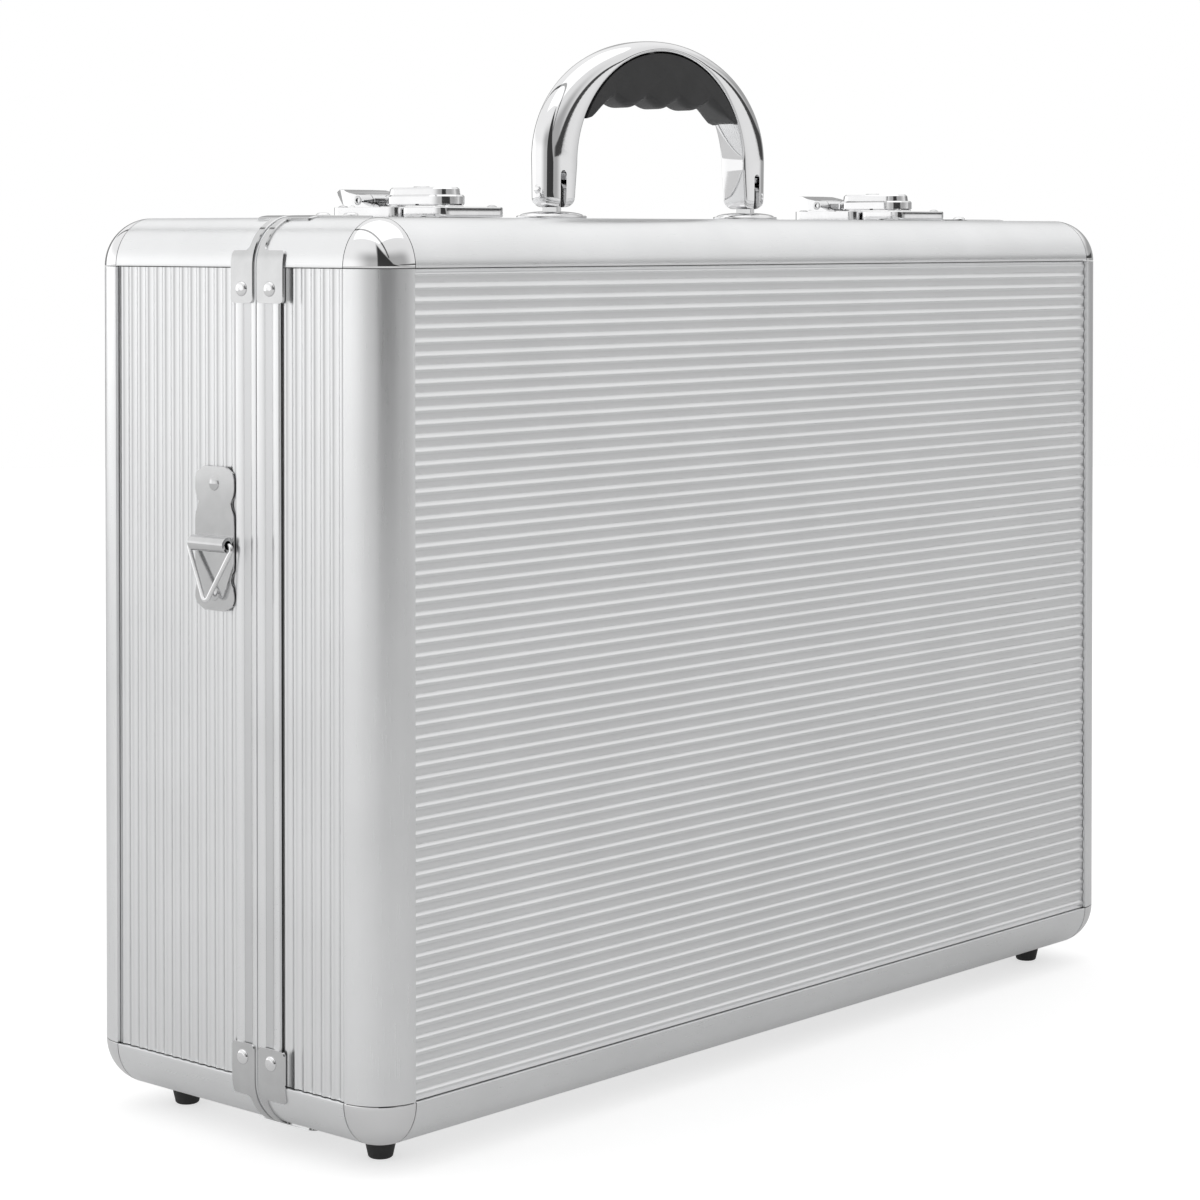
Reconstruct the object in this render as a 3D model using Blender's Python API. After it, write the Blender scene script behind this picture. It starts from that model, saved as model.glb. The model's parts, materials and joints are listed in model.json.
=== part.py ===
"""Aluminium attache case, standing on its feet with the handle up.

Metres, +Z up. X runs along the length, -Y is the face of the shallow lid shell,
+Y the face of the deep base shell. The origin is under the middle, on the floor.
"""

import math

import bmesh
import bpy
from mathutils import Matrix, Vector

MM = 0.001

# Driving dimensions
WIDTH = 460 * MM
DEPTH = 158.6 * MM
HEIGHT = 327.4 * MM
FOOT_DROP = 8 * MM
PARTING_Y = -16.5 * MM
EDGE = 17.8 * MM  # radius and face width of the rounded edge extrusions
SKIN = 4.4 * MM  # outer face to inner face, everywhere round the box
GAP = 0.3 * MM

# Box limits that follow
HALF_W = WIDTH / 2
HALF_D = DEPTH / 2
BOTTOM = FOOT_DROP
TOP = FOOT_DROP + HEIGHT

# Ribbed sheet
RECESS = 1.5 * MM
RIB_PITCH = 4.785 * MM
RIB_RISE = 0.5 * MM
RIB_FOOT = 1.0 * MM
RIB_CREST = 0.45 * MM

# Rims at the parting line
BASE_RIM = 11 * MM
LID_RIM = 11.9 * MM
RIM_PLAY = 0.2 * MM
TONGUE = (1.6 * MM, 2.8 * MM)
GROOVE = (0.8 * MM, 3.6 * MM)
TONGUE_REACH = 2.0 * MM
GROOVE_REACH = 3.2 * MM

# Full-length hinge under the parting line
HINGE_LENGTH = 384 * MM
HINGE_KNUCKLES = 9
KNUCKLE_R = 2.2 * MM
HINGE_BORE = 1.1 * MM
HINGE_PIN = 0.75 * MM
HINGE_Z = BOTTOM - GAP - KNUCKLE_R
LEAF_TOP = BOTTOM - 0.5 * MM
LEAF_THICK = 1.0 * MM

# Feet
FOOT_X = 204 * MM
FOOT_Y = {"base": 52 * MM, "lid": -53 * MM}
FOOT_TOP_R = 6.2 * MM
FOOT_LOW_R = 4.4 * MM

# Handle
HANDLE_Y = -4.5 * MM
LEG_X = 61.2 * MM
PIN_Z = TOP + 12 * MM
ARCH_OUTER = (69.9 * MM, 48.8 * MM, TOP + 25 * MM)  # half width, rise, springing height
ARCH_INNER = (52.6 * MM, 46.8 * MM, TOP + 22.4 * MM)
LEG_END_Z = TOP + 4.8 * MM
LEG_INWARD = 7.4 * MM  # from the lug's middle to the leg's inner face
LEG_OUTWARD = 8.6 * MM
LEG_SLOT_RISE = 7.6 * MM  # above the pin
LUG_THICK = 2.6 * MM
PIN_PROUD = 0.4 * MM
GRIP_LEVEL = TOP + 47.6 * MM  # middle of the finger ridges
GRIP_RIDGE = 20 * MM
GRIP_WAVE = 1.6 * MM
GRIP_END_X = 44.8 * MM
GRIP_END_DROP = 7.9 * MM
GRIP_TIP_Z = TOP + 41 * MM
GRIP_HALF = 6.9 * MM

# Latches
LATCH_X = 142 * MM
PLATE_HALF = 18 * MM
PLATE_TOP = TOP + 4.2 * MM
HASP_HALF = 8.35 * MM
HASP_Y = (-31.4 * MM, 4.2 * MM)
HASP_Z = TOP + 4.9 * MM
CROWN_Z = TOP + 11.7 * MM
LEVER_PIVOT = (2.0 * MM, TOP + 2.3 * MM)
BARREL = (9.6 * MM, TOP + 6.9 * MM)
BARREL_R = 2.2 * MM
BARREL_HALF = 12.7 * MM
PLUG_Y = -12 * MM
PLUG_R = 3.2 * MM

# Strap loops on the narrow ends
STRAP_Y = 5.6 * MM
STRAP_Z = (193.1 * MM, 245.4 * MM)
STRAP_HALF = 10.6 * MM
STRAP_THICK = 1.2 * MM
STRAP_KNUCKLE_Z = 217.4 * MM
STRAP_KNUCKLE_R = 2.9 * MM
STRAP_BORE = 1.6 * MM
WIRE_R = 0.9 * MM
STRAP_KNUCKLE_HALF = 9.5 * MM
RING_HALF = 12.6 * MM
RING_DROP = 22 * MM
RING_LEAN = math.radians(7)

ROUND = 24  # sides of a turned piece


# ---------------------------------------------------------------- mesh helpers

def loft(rings, closed=False):
    """Skins a row of equal rings; an open row is capped at both ends."""
    bm = bmesh.new()
    rows = [[bm.verts.new(point) for point in ring] for ring in rings]
    pairs = list(zip(rows, rows[1:])) + ([(rows[-1], rows[0])] if closed else [])
    for low, high in pairs:
        for i in range(len(low)):
            j = (i + 1) % len(low)
            bm.faces.new((low[i], low[j], high[j], high[i]))
    if not closed:
        bm.faces.new(rows[0])
        bm.faces.new(rows[-1])
    bmesh.ops.remove_doubles(bm, verts=bm.verts, dist=0.002 * MM)
    bare = [edge for edge in bm.edges if not edge.link_faces]
    bmesh.ops.delete(bm, geom=bare, context="EDGES")
    bmesh.ops.recalc_face_normals(bm, faces=bm.faces)
    return bm


def place(axis, a, b, along):
    """Puts a flat outline's (a, b) at a distance along x, y or z."""
    return {"x": (along, a, b), "y": (a, along, b), "z": (a, b, along)}[axis]


def prism(outline, axis, start, end):
    return loft([[place(axis, a, b, t) for a, b in outline] for t in (start, end)])


def box(low, high):
    (x0, y0, z0), (x1, y1, z1) = low, high
    return prism([(x0, y0), (x1, y0), (x1, y1), (x0, y1)], "z", z0, z1)


def turned(profile, axis, centre, sides=ROUND):
    """Turns a closed (radius, distance) profile round an axis through centre."""
    rings = []
    for k in range(sides):
        angle = math.tau * k / sides
        flat = [(r * math.cos(angle), r * math.sin(angle), h) for r, h in profile]
        rings.append([Vector(place(axis, a, b, h)) + Vector(centre) for a, b, h in flat])
    return loft(rings, closed=True)


def rod(radius, axis, centre, start, end, sides=ROUND):
    circle = [(radius * math.cos(math.tau * k / sides), radius * math.sin(math.tau * k / sides))
              for k in range(sides)]
    rings = [[Vector(place(axis, a, b, t)) + Vector(centre) for a, b in circle] for t in (start, end)]
    return loft(rings)


def merge(*meshes):
    """Puts meshes that don't touch into one."""
    whole = bmesh.new()
    for bm in meshes:
        mesh = bpy.data.meshes.new("part")
        bm.to_mesh(mesh)
        bm.free()
        whole.from_mesh(mesh)
        bpy.data.meshes.remove(mesh)
    return whole


def rounded(corners, radius, steps=5):
    """A closed outline with round corners: (point, inward normal) pairs, from corners run anticlockwise."""
    path = []
    for i, corner in enumerate(corners):
        here = Vector(corner)
        back = (Vector(corners[i - 1]) - here).normalized()
        ahead = (Vector(corners[(i + 1) % len(corners)]) - here).normalized()
        half = back.angle(ahead) / 2
        centre = here + (back + ahead).normalized() * (radius / math.sin(half))
        first = Vector((-back.y, back.x)) * -1
        turn = math.pi - 2 * half
        for k in range(steps + 1):
            angle = turn * k / steps
            out = Vector((first.x * math.cos(angle) - first.y * math.sin(angle),
                          first.x * math.sin(angle) + first.y * math.cos(angle)))
            out = out if out.dot(here - centre) > 0 else -out
            path.append((centre + out * radius, -out))
    return path


def rounded_box(low, high, radius, steps=5):
    (a0, b0), (a1, b1) = low, high
    return [tuple(p) for p, _ in rounded([(a0, b0), (a1, b0), (a1, b1), (a0, b1)], radius, steps)]


def arc(centre, radius, start, end, steps):
    """Points on an arc, angles in degrees."""
    return [(centre[0] + radius * math.cos(math.radians(start + (end - start) * k / steps)),
             centre[1] + radius * math.sin(math.radians(start + (end - start) * k / steps)))
            for k in range(steps + 1)]


# -------------------------------------------------------------- object helpers

FINISHES = {
    "satin_aluminium": ((0.80, 0.81, 0.82), 1.0, 0.34),
    "ribbed_aluminium": ((0.78, 0.79, 0.80), 1.0, 0.38),
    "chrome": ((0.86, 0.86, 0.87), 1.0, 0.06),
    "nickel_plate": ((0.76, 0.75, 0.73), 1.0, 0.16),
    "grip_plastic": ((0.045, 0.045, 0.048), 0.0, 0.55),
    "foot_rubber": ((0.025, 0.025, 0.025), 0.0, 0.80),
    "latch_steel": ((0.82, 0.82, 0.83), 1.0, 0.10),
}


def finish(name):
    """Makes or finds the Principled material of a finish."""
    material = bpy.data.materials.get(name)
    if material:
        return material
    colour, metallic, roughness = FINISHES[name]
    material = bpy.data.materials.new(name)
    material.use_nodes = True
    shader = material.node_tree.nodes["Principled BSDF"]
    shader.inputs["Base Color"].default_value = (*colour, 1)
    shader.inputs["Metallic"].default_value = metallic
    shader.inputs["Roughness"].default_value = roughness
    return material


def add(name, bm, look, parent=None):
    """Makes the named sub-part; under a parent it keeps its place."""
    mesh = bpy.data.meshes.new(name)
    bm.to_mesh(mesh)
    bm.free()
    mesh.shade_smooth()
    mesh.set_sharp_from_angle(angle=math.radians(32))
    piece = bpy.data.objects.new(name, mesh)
    bpy.context.scene.collection.objects.link(piece)
    piece.data.materials.append(finish(look))
    if parent:
        piece.parent = parent
        piece.matrix_parent_inverse = Matrix.Translation(-axis_point(parent))
    return piece


def shape(piece, bm, operation):
    """Cuts a mesh out of a piece, or joins it on; the tool itself isn't a sub-part."""
    mesh = bpy.data.meshes.new(piece.name + "_tool")
    bm.to_mesh(mesh)
    bm.free()
    tool = bpy.data.objects.new(mesh.name, mesh)
    bpy.context.scene.collection.objects.link(tool)
    tool.hide_render = True
    tool.display_type = "WIRE"
    modifier = piece.modifiers.new(operation.lower(), "BOOLEAN")
    modifier.operation = operation
    modifier.object = tool


def axis_point(empty):
    """World position of a pivot, through its parents."""
    return empty.location + (axis_point(empty.parent) if empty.parent else Vector())


def pivot(name, place_at, parent=None):
    """An empty on a joint's axis."""
    empty = bpy.data.objects.new(name, None)
    empty.empty_display_size = 20 * MM
    empty.location = Vector(place_at) - (axis_point(parent) if parent else Vector())
    empty.parent = parent
    bpy.context.scene.collection.objects.link(empty)
    return empty


# ------------------------------------------------------------------ the shells

def ribbed_outline(start, end, face, inward):
    """Section of a ribbed sheet: (across, depth) with round-topped beads as low trapezoids.

    face is the level of the flats between the beads, and inward is +1 or -1.
    """
    crest = face - inward * RIB_RISE
    middle = (start + end) / 2
    count = int((end - start - 2 * RIB_PITCH * 0.35) / RIB_PITCH) + 1
    points = [(start, face)]
    for k in range(count):
        at = middle + (k - (count - 1) / 2) * RIB_PITCH
        points += [(at - RIB_FOOT, face), (at - RIB_CREST, crest), (at + RIB_CREST, crest), (at + RIB_FOOT, face)]
    back = face + inward * (SKIN - RECESS)
    return points + [(end, face), (end, back), (start, back)]


def shell_side(shell):
    """-1 for the lid, which is at -Y, and +1 for the base."""
    return -1 if shell == "lid" else 1


def rim_back(shell):
    """Where the rim ends and the ribbed walls begin."""
    return PARTING_Y - LID_RIM if shell == "lid" else PARTING_Y + BASE_RIM


def build_panels(shell, parent):
    """The large face and four walls of one shell, all of ribbed sheet."""
    side = shell_side(shell)
    in_x = HALF_W - EDGE - GAP
    low_z, high_z = BOTTOM + EDGE + GAP, TOP - EDGE - GAP
    face = ribbed_outline(low_z, high_z, side * (HALF_D - RECESS), -side)
    name = "lid_front_panel" if shell == "lid" else "base_back_panel"
    add(name, prism([(y, z) for z, y in face], "x", -in_x, in_x), "ribbed_aluminium", parent)
    near, far = sorted((rim_back(shell) + side * GAP, side * (HALF_D - EDGE - GAP)))
    for label, sign in (("left", -1), ("right", 1)):
        wall = ribbed_outline(near, far, sign * (HALF_W - RECESS), -sign)
        add(f"{shell}_{label}_wall", prism([(x, y) for y, x in wall], "z", low_z, high_z),
            "ribbed_aluminium", parent)
    for label, level, inward in (("bottom", BOTTOM + RECESS, 1), ("top", TOP - RECESS, -1)):
        wall = ribbed_outline(near, far, level, inward)
        add(f"{shell}_{label}_wall", prism(wall, "x", -in_x, in_x), "ribbed_aluminium", parent)


def quarter(centre, sign_a, sign_b):
    """Quarter-round extrusion section, bulging towards (sign_a, sign_b)."""
    outer = arc((0, 0), EDGE, 0, 90, 8)
    inner = arc((0, 0), EDGE - SKIN, 90, 0, 6)
    return [(centre[0] + sign_a * a, centre[1] + sign_b * b) for a, b in outer + inner]


def build_edges(shell, parent):
    """Eight rounded extrusions: four round the large face, four back to the rim."""
    side = shell_side(shell)
    cx, cy = HALF_W - EDGE, side * (HALF_D - EDGE)
    levels = {"bottom": (BOTTOM + EDGE, -1), "top": (TOP - EDGE, 1)}
    for label, (cz, up) in levels.items():
        add(f"{shell}_edge_{label}", prism(quarter((cy, cz), side, up), "x", -cx + GAP, cx - GAP),
            "satin_aluminium", parent)
    near, far = sorted((rim_back(shell) + side * GAP, cy - side * GAP))
    for label, sign in (("left", -1), ("right", 1)):
        add(f"{shell}_edge_{label}",
            prism(quarter((sign * cx, cy), sign, side), "z", BOTTOM + EDGE + GAP, TOP - EDGE - GAP),
            "satin_aluminium", parent)
        for level, (cz, up) in levels.items():
            add(f"{shell}_post_{level}_{label}", prism(quarter((sign * cx, cz), sign, up), "y", near, far),
                "satin_aluminium", parent)
            add(f"{shell}_cap_{level}_{label}", corner_cap((sign * cx, cy, cz), sign, side, up), "chrome", parent)


def corner_cap(centre, sx, sy, sz):
    """One eighth of a thick ball."""
    steps = 6
    section = arc((0, 0), EDGE, 0, 90, steps) + arc((0, 0), EDGE - SKIN, 90, 0, steps)
    rings = []
    for k in range(steps + 1):
        turn = math.pi / 2 * k / steps
        rings.append([(centre[0] + sx * r * math.cos(turn), centre[1] + sy * r * math.sin(turn),
                       centre[2] + sz * h) for r, h in section])
    return loft(rings)


def build_rim(shell, parent):
    """The frame round the opening; the lid's tongue stands in the base's groove."""
    side = shell_side(shell)
    front, back = PARTING_Y + side * RIM_PLAY, rim_back(shell)
    if shell == "lid":
        tip = PARTING_Y + TONGUE_REACH
        notch = [(TONGUE[0], front), (TONGUE[0], tip), (TONGUE[1], tip), (TONGUE[1], front)]
    else:
        floor = PARTING_Y + GROOVE_REACH
        notch = [(GROOVE[0], front), (GROOVE[0], floor), (GROOVE[1], floor), (GROOVE[1], front)]
    section = [(0, back), (0, front)] + notch + [(SKIN, front), (SKIN, back)]
    corners = [(-HALF_W, BOTTOM), (HALF_W, BOTTOM), (HALF_W, TOP), (-HALF_W, TOP)]
    rings = []
    for point, inward in rounded(corners, EDGE, 6):
        rings.append([(point.x + inward.x * depth, y, point.y + inward.y * depth) for depth, y in section])
    add(f"{shell}_rim", loft(rings, closed=True), "satin_aluminium", parent)


def build_foot(shell, label, sign, parent):
    """A tapered rubber foot with a rounded lower edge."""
    height = BOTTOM + RECESS - RIB_RISE - GAP
    soft = 0.8 * MM
    profile = [(0, 0), (FOOT_LOW_R - soft, 0), (FOOT_LOW_R, soft), (FOOT_TOP_R, height), (0, height)]
    add(f"foot_{shell}_{label}", turned(profile, "z", (sign * FOOT_X, FOOT_Y[shell], 0)), "foot_rubber", parent)


# ------------------------------------------------------------------- the hinge

def knuckle_spans(odd):
    """X ranges of one leaf's knuckles, with a gap between neighbours."""
    pitch = HINGE_LENGTH / HINGE_KNUCKLES
    for k in range(1 if odd else 0, HINGE_KNUCKLES, 2):
        start = -HINGE_LENGTH / 2 + k * pitch
        yield start + GAP / 2, start + pitch - GAP / 2


def build_leaf(shell, parent):
    """A flat leaf with tabs to its own knuckles; the base leaf also holds the pin."""
    side = shell_side(shell)
    root = PARTING_Y + side * (KNUCKLE_R + GAP)
    tab = PARTING_Y + side * 1.4 * MM
    back = rim_back(shell) - side * 1.5 * MM
    outline = [(-HINGE_LENGTH / 2, back), (-HINGE_LENGTH / 2, root)]
    spans = list(knuckle_spans(odd=shell == "lid"))
    for start, end in spans:
        outline += [(start, root), (start, tab), (end, tab), (end, root)]
    outline += [(HINGE_LENGTH / 2, root), (HINGE_LENGTH / 2, back)]
    leaf = add(f"hinge_leaf_{shell}", prism(outline, "z", LEAF_TOP - LEAF_THICK, LEAF_TOP), "nickel_plate", parent)
    centre = (0, PARTING_Y, HINGE_Z)
    if shell == "lid":
        tubes = [turned([(HINGE_BORE, a), (KNUCKLE_R, a), (KNUCKLE_R, b), (HINGE_BORE, b)], "x", centre, 12)
                 for a, b in spans]
        shape(leaf, merge(*tubes), "UNION")
        return
    profile = []
    for a, b in spans:
        profile += [(HINGE_PIN, a), (KNUCKLE_R, a), (KNUCKLE_R, b), (HINGE_PIN, b)]
    profile[0], profile[-1] = (0, spans[0][0]), (0, spans[-1][1])
    shape(leaf, turned(profile, "x", centre, 12), "UNION")


# ------------------------------------------------------------------ the handle

def arch_point(arch, angle):
    half, rise, level = arch
    return half * math.cos(angle), level + rise * math.sin(angle)


def handle_section(inner, outer, half_y, soft):
    """Rounded rectangle between an inner and an outer point, across the handle."""
    inner, outer = Vector(inner), Vector(outer)
    along = (outer - inner).normalized()
    length = (outer - inner).length
    ring = []
    for a, y in rounded_box((0, -half_y), (length, half_y), soft, 2):
        ring.append((inner.x + along.x * a, HANDLE_Y + y, inner.y + along.y * a))
    return ring


def build_bail(parent):
    """The arched handle, slotted at both feet for the lugs and bored for the pins."""
    leg_in, leg_out = LEG_X - LEG_INWARD, LEG_X + LEG_OUTWARD
    steps, toe = 20, 1.5 * MM
    rings = [handle_section((leg_in + toe, LEG_END_Z), (leg_out - toe, LEG_END_Z), 4.5 * MM, 2 * MM),
             handle_section((leg_in, LEG_END_Z + toe), (leg_out, LEG_END_Z + toe), 5.9 * MM, 3 * MM)]
    for k in range(steps + 1):
        angle = math.pi * k / steps
        swell = math.sin(angle)
        rings.append(handle_section(arch_point(ARCH_INNER, angle), arch_point(ARCH_OUTER, angle),
                                    (6.6 + 1.2 * swell) * MM, (3.2 - 1.2 * swell) * MM))
    mirror = [[(-x, y, z) for x, y, z in ring] for ring in (rings[1], rings[0])]
    bail = add("handle_bail", loft(rings + mirror), "chrome", parent)
    slots = [box((s * LEG_X - 1.7 * MM, HANDLE_Y - 9 * MM, LEG_END_Z - 2 * MM),
                 (s * LEG_X + 1.7 * MM, HANDLE_Y + 9 * MM, PIN_Z + LEG_SLOT_RISE)) for s in (-1, 1)]
    shape(bail, merge(*slots), "DIFFERENCE")
    bores = [rod(1.8 * MM, "x", (s * LEG_X, HANDLE_Y, PIN_Z), -12 * MM, 12 * MM, 16) for s in (-1, 1)]
    shape(bail, merge(*bores), "DIFFERENCE")


def grip_floor(x):
    """Lower edge of the grip: three finger ridges, then a slope up to each end."""
    ridged = 1.5 * GRIP_RIDGE
    if abs(x) < ridged:
        return GRIP_LEVEL - GRIP_WAVE * math.cos(math.tau * x / GRIP_RIDGE)
    share = (abs(x) - ridged) / (GRIP_END_X - ridged)
    return GRIP_LEVEL + GRIP_WAVE - GRIP_END_DROP * share


def build_grip(parent):
    """Half-moon finger grip that fills the top of the arch."""
    half, rise, level = ARCH_INNER
    top = (half - GAP, rise - GAP, level)
    lower = [(x, grip_floor(x)) for x in [GRIP_END_X * (k / 15 - 1) for k in range(31)]]
    start = math.asin((GRIP_TIP_Z - level) / rise)
    upper = [arch_point(top, start + (math.pi - 2 * start) * k / 16) for k in range(17)]
    grip = add("handle_grip", prism(lower + upper, "y", HANDLE_Y - GRIP_HALF, HANDLE_Y + GRIP_HALF),
               "grip_plastic", parent)
    bevel = grip.modifiers.new("soft_edge", "BEVEL")
    bevel.width = 1.2 * MM
    bevel.segments = 1
    bevel.limit_method = "ANGLE"
    bevel.angle_limit = math.radians(60)


def build_mount(label, sign):
    """Domed oval foot of the handle, with its lug and the pin pressed through it."""
    half_x, half_y, rim, dome = 17 * MM, 11 * MM, 1.2 * MM, 3.0 * MM
    profile = [(0, 0), (1, 0), (1, rim), (0.8, rim + 0.5 * (dome - rim)), (0.5, dome - 0.3 * MM), (0, dome)]
    floor = TOP + GAP
    rings = []
    for k in range(ROUND):
        turn = math.tau * k / ROUND
        rings.append([(sign * LEG_X + half_x * r * math.cos(turn), HANDLE_Y + half_y * r * math.sin(turn), floor + h)
                      for r, h in profile])
    mount = add(f"handle_mount_{label}", loft(rings, closed=True), "chrome")
    lug = [(HANDLE_Y + 4 * MM, TOP + 1.5 * MM)] + arc((HANDLE_Y, PIN_Z), 4 * MM, 0, 180, 10)
    lug += [(HANDLE_Y - 4 * MM, TOP + 1.5 * MM)]
    shape(mount, prism(lug, "x", sign * LEG_X - LUG_THICK / 2, sign * LEG_X + LUG_THICK / 2), "UNION")
    inner, outer = sorted((-(LEG_INWARD - PIN_PROUD) * sign, (LEG_OUTWARD + PIN_PROUD) * sign))
    shape(mount, rod(1.5 * MM, "x", (sign * LEG_X, HANDLE_Y, PIN_Z), inner, outer, 16), "UNION")


# ----------------------------------------------------------------- the latches

def build_latch_plate(label, x):
    """Base plate, open under the lever, with the lever's pivot pin across the opening."""
    plate = add(f"latch_plate_{label}",
                prism(rounded_box((x - PLATE_HALF, -15.8 * MM), (x + PLATE_HALF, 20 * MM), 5 * MM),
                      "z", TOP + GAP, PLATE_TOP), "latch_steel")
    shape(plate, box((x - 13.2 * MM, -0.9 * MM, TOP - 1 * MM), (x + 13.2 * MM, 12.8 * MM, TOP + 6 * MM)), "DIFFERENCE")
    shape(plate, rod(0.8 * MM, "x", (x, *LEVER_PIVOT), -14.5 * MM, 14.5 * MM, 12), "UNION")


def build_strike(label, x, parent):
    """Plate on the lid, with the slot that the hasp's lip drops into."""
    strike = add(f"latch_strike_{label}",
                 prism(rounded_box((x - PLATE_HALF, -40.2 * MM), (x + PLATE_HALF, -17.2 * MM), 5 * MM),
                       "z", TOP + GAP, PLATE_TOP), "latch_steel", parent)
    shape(strike, box((x - 5 * MM, -33.2 * MM, TOP - 1 * MM), (x + 5 * MM, -27.4 * MM, TOP + 6 * MM)), "DIFFERENCE")


def build_lever(label, x, parent):
    """Lever with two side arms, the outer barrel knuckles and the raised finger tab."""
    (py, pz), (by, bz) = LEVER_PIVOT, BARREL
    outline = arc((py, pz), 1.9 * MM, 150, 300, 8)
    outline += [(by + 2.6 * MM, TOP + 4.7 * MM), (19.5 * MM, TOP + 4.8 * MM), (25.6 * MM, TOP + 8.9 * MM)]
    outline += [(26.8 * MM, TOP + 10.2 * MM), (23.5 * MM, TOP + 11.2 * MM), (19 * MM, TOP + 11.0 * MM)]
    outline += [(14.5 * MM, TOP + 9.8 * MM)] + arc((by, bz), BARREL_R, 75, 200, 8)
    half = BARREL_HALF
    lever = add(f"latch_lever_{label}", prism(outline, "x", x - half, x + half), "latch_steel", parent)
    tools = [box((x - 6.8 * MM, -4 * MM, TOP - 2 * MM), (x + 6.8 * MM, by + 2.8 * MM, TOP + 14 * MM))]
    for s in (-1, 1):
        wedge = [(x + s * 6.6 * MM, 28 * MM), (x + s * 14 * MM, 28 * MM), (x + s * 14 * MM, 13.5 * MM)]
        tools.append(prism(wedge, "z", TOP - 1 * MM, TOP + 14 * MM))
    shape(lever, merge(*tools), "DIFFERENCE")
    bores = [rod(1.15 * MM, "x", (x, y, z), -15 * MM, 15 * MM, 12) for y, z in (LEVER_PIVOT, BARREL)]
    shape(lever, merge(*bores), "DIFFERENCE")


def build_hasp(label, x, parent):
    """Hook plate: a rimmed oblong with a raised crown, its knuckle and pin, and the lip under its nose."""
    levels = [(HASP_Z, 0.5), (HASP_Z + 0.5 * MM, 0), (HASP_Z + 3.3 * MM, 0), (HASP_Z + 3.9 * MM, 0.6),
              (HASP_Z + 4.0 * MM, 1.6), (CROWN_Z - 0.7 * MM, 1.9), (CROWN_Z, 2.8)]
    rings = []
    for z, inset in levels:
        half = HASP_HALF - inset * MM
        low, high = (x - half, HASP_Y[0] + inset * MM), (x + half, HASP_Y[1] - inset * MM)
        rings.append([(a, b, z) for a, b in rounded_box(low, high, half - 0.2 * MM, 5)])
    hasp = add(f"latch_hasp_{label}", loft(rings), "latch_steel", parent)
    by, bz = BARREL
    shape(hasp, box((x - 6.0 * MM, -1.5 * MM, bz - 1.5 * MM), (x + 6.0 * MM, by, bz + 0.9 * MM)), "UNION")
    pin, reach, half = 0.85 * MM, 12.4 * MM, 6.5 * MM
    profile = [(0, -reach), (pin, -reach), (pin, -half), (BARREL_R, -half), (BARREL_R, half), (pin, half),
               (pin, reach), (0, reach)]
    shape(hasp, turned(profile, "x", (x, by, bz), 16), "UNION")
    shape(hasp, box((x - 4 * MM, -30.2 * MM, TOP + 2.5 * MM), (x + 4 * MM, -28.5 * MM, TOP + 6.4 * MM)), "UNION")
    shape(hasp, rod(PLUG_R + GAP, "z", (x, PLUG_Y, 0), CROWN_Z - 2.9 * MM, CROWN_Z + 1 * MM), "DIFFERENCE")


def build_plug(label, x, parent):
    """Key plug of the latch lock, with a plain key slot."""
    low, high = CROWN_Z - 2.6 * MM, CROWN_Z + 0.4 * MM
    profile = [(0, low), (PLUG_R, low), (PLUG_R, high - 0.4 * MM), (PLUG_R - 0.4 * MM, high), (0, high)]
    plug = add(f"lock_plug_{label}", turned(profile, "z", (x, PLUG_Y, 0)), "nickel_plate", parent)
    shape(plug, box((x - 0.45 * MM, PLUG_Y - 2 * MM, high - 1.6 * MM), (x + 0.45 * MM, PLUG_Y + 2 * MM, high + 1 * MM)),
          "DIFFERENCE")


# ------------------------------------------------------------- the strap loops

def strap_outline():
    """Upright plate with two waists and round ends, as (y, z)."""
    low, high = STRAP_Z
    waists, depth, spread = (low + 11.5 * MM, high - 13.5 * MM), 1.9 * MM, 2.6 * MM
    steps, corner = 24, 5 * MM
    right = []
    for k in range(steps + 1):
        z = low + (high - low) * k / steps
        half = STRAP_HALF - sum(depth * math.exp(-((z - at) / spread) ** 2) for at in waists)
        near_end = max(corner - (z - low), corner - (high - z), 0)
        right.append((half - corner + math.sqrt(corner ** 2 - near_end ** 2), z))
    return [(STRAP_Y + w, z) for w, z in right] + [(STRAP_Y - w, z) for w, z in reversed(right)]


def build_strap_plate(label, sign):
    """End plate with its two rivet heads and the rolled knuckle that holds the ring."""
    inner = HALF_W - RECESS + RIB_RISE + GAP
    outer = inner + STRAP_THICK
    plate = add(f"strap_plate_{label}", prism(strap_outline(), "x", sign * inner, sign * outer), "nickel_plate")
    heads = []
    for z in (STRAP_Z[0] + 6 * MM, STRAP_Z[1] - 6.3 * MM):
        dome = [(0, -0.6 * MM), (2.5 * MM, -0.6 * MM), (2.5 * MM, 0.3 * MM), (1.6 * MM, 0.8 * MM), (0, 1.0 * MM)]
        heads.append(turned([(r, sign * h) for r, h in dome], "x", (sign * outer, STRAP_Y, z), 12))
    shape(plate, merge(*heads), "UNION")
    half = STRAP_KNUCKLE_HALF
    tube = [(STRAP_BORE, -half), (STRAP_KNUCKLE_R, -half), (STRAP_KNUCKLE_R, half), (STRAP_BORE, half)]
    shape(plate, turned(tube, "y", (sign * strap_axis_x(), STRAP_Y, STRAP_KNUCKLE_Z), 16), "UNION")


def strap_axis_x():
    return HALF_W - RECESS + RIB_RISE + GAP + STRAP_THICK + 1.8 * MM


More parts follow.
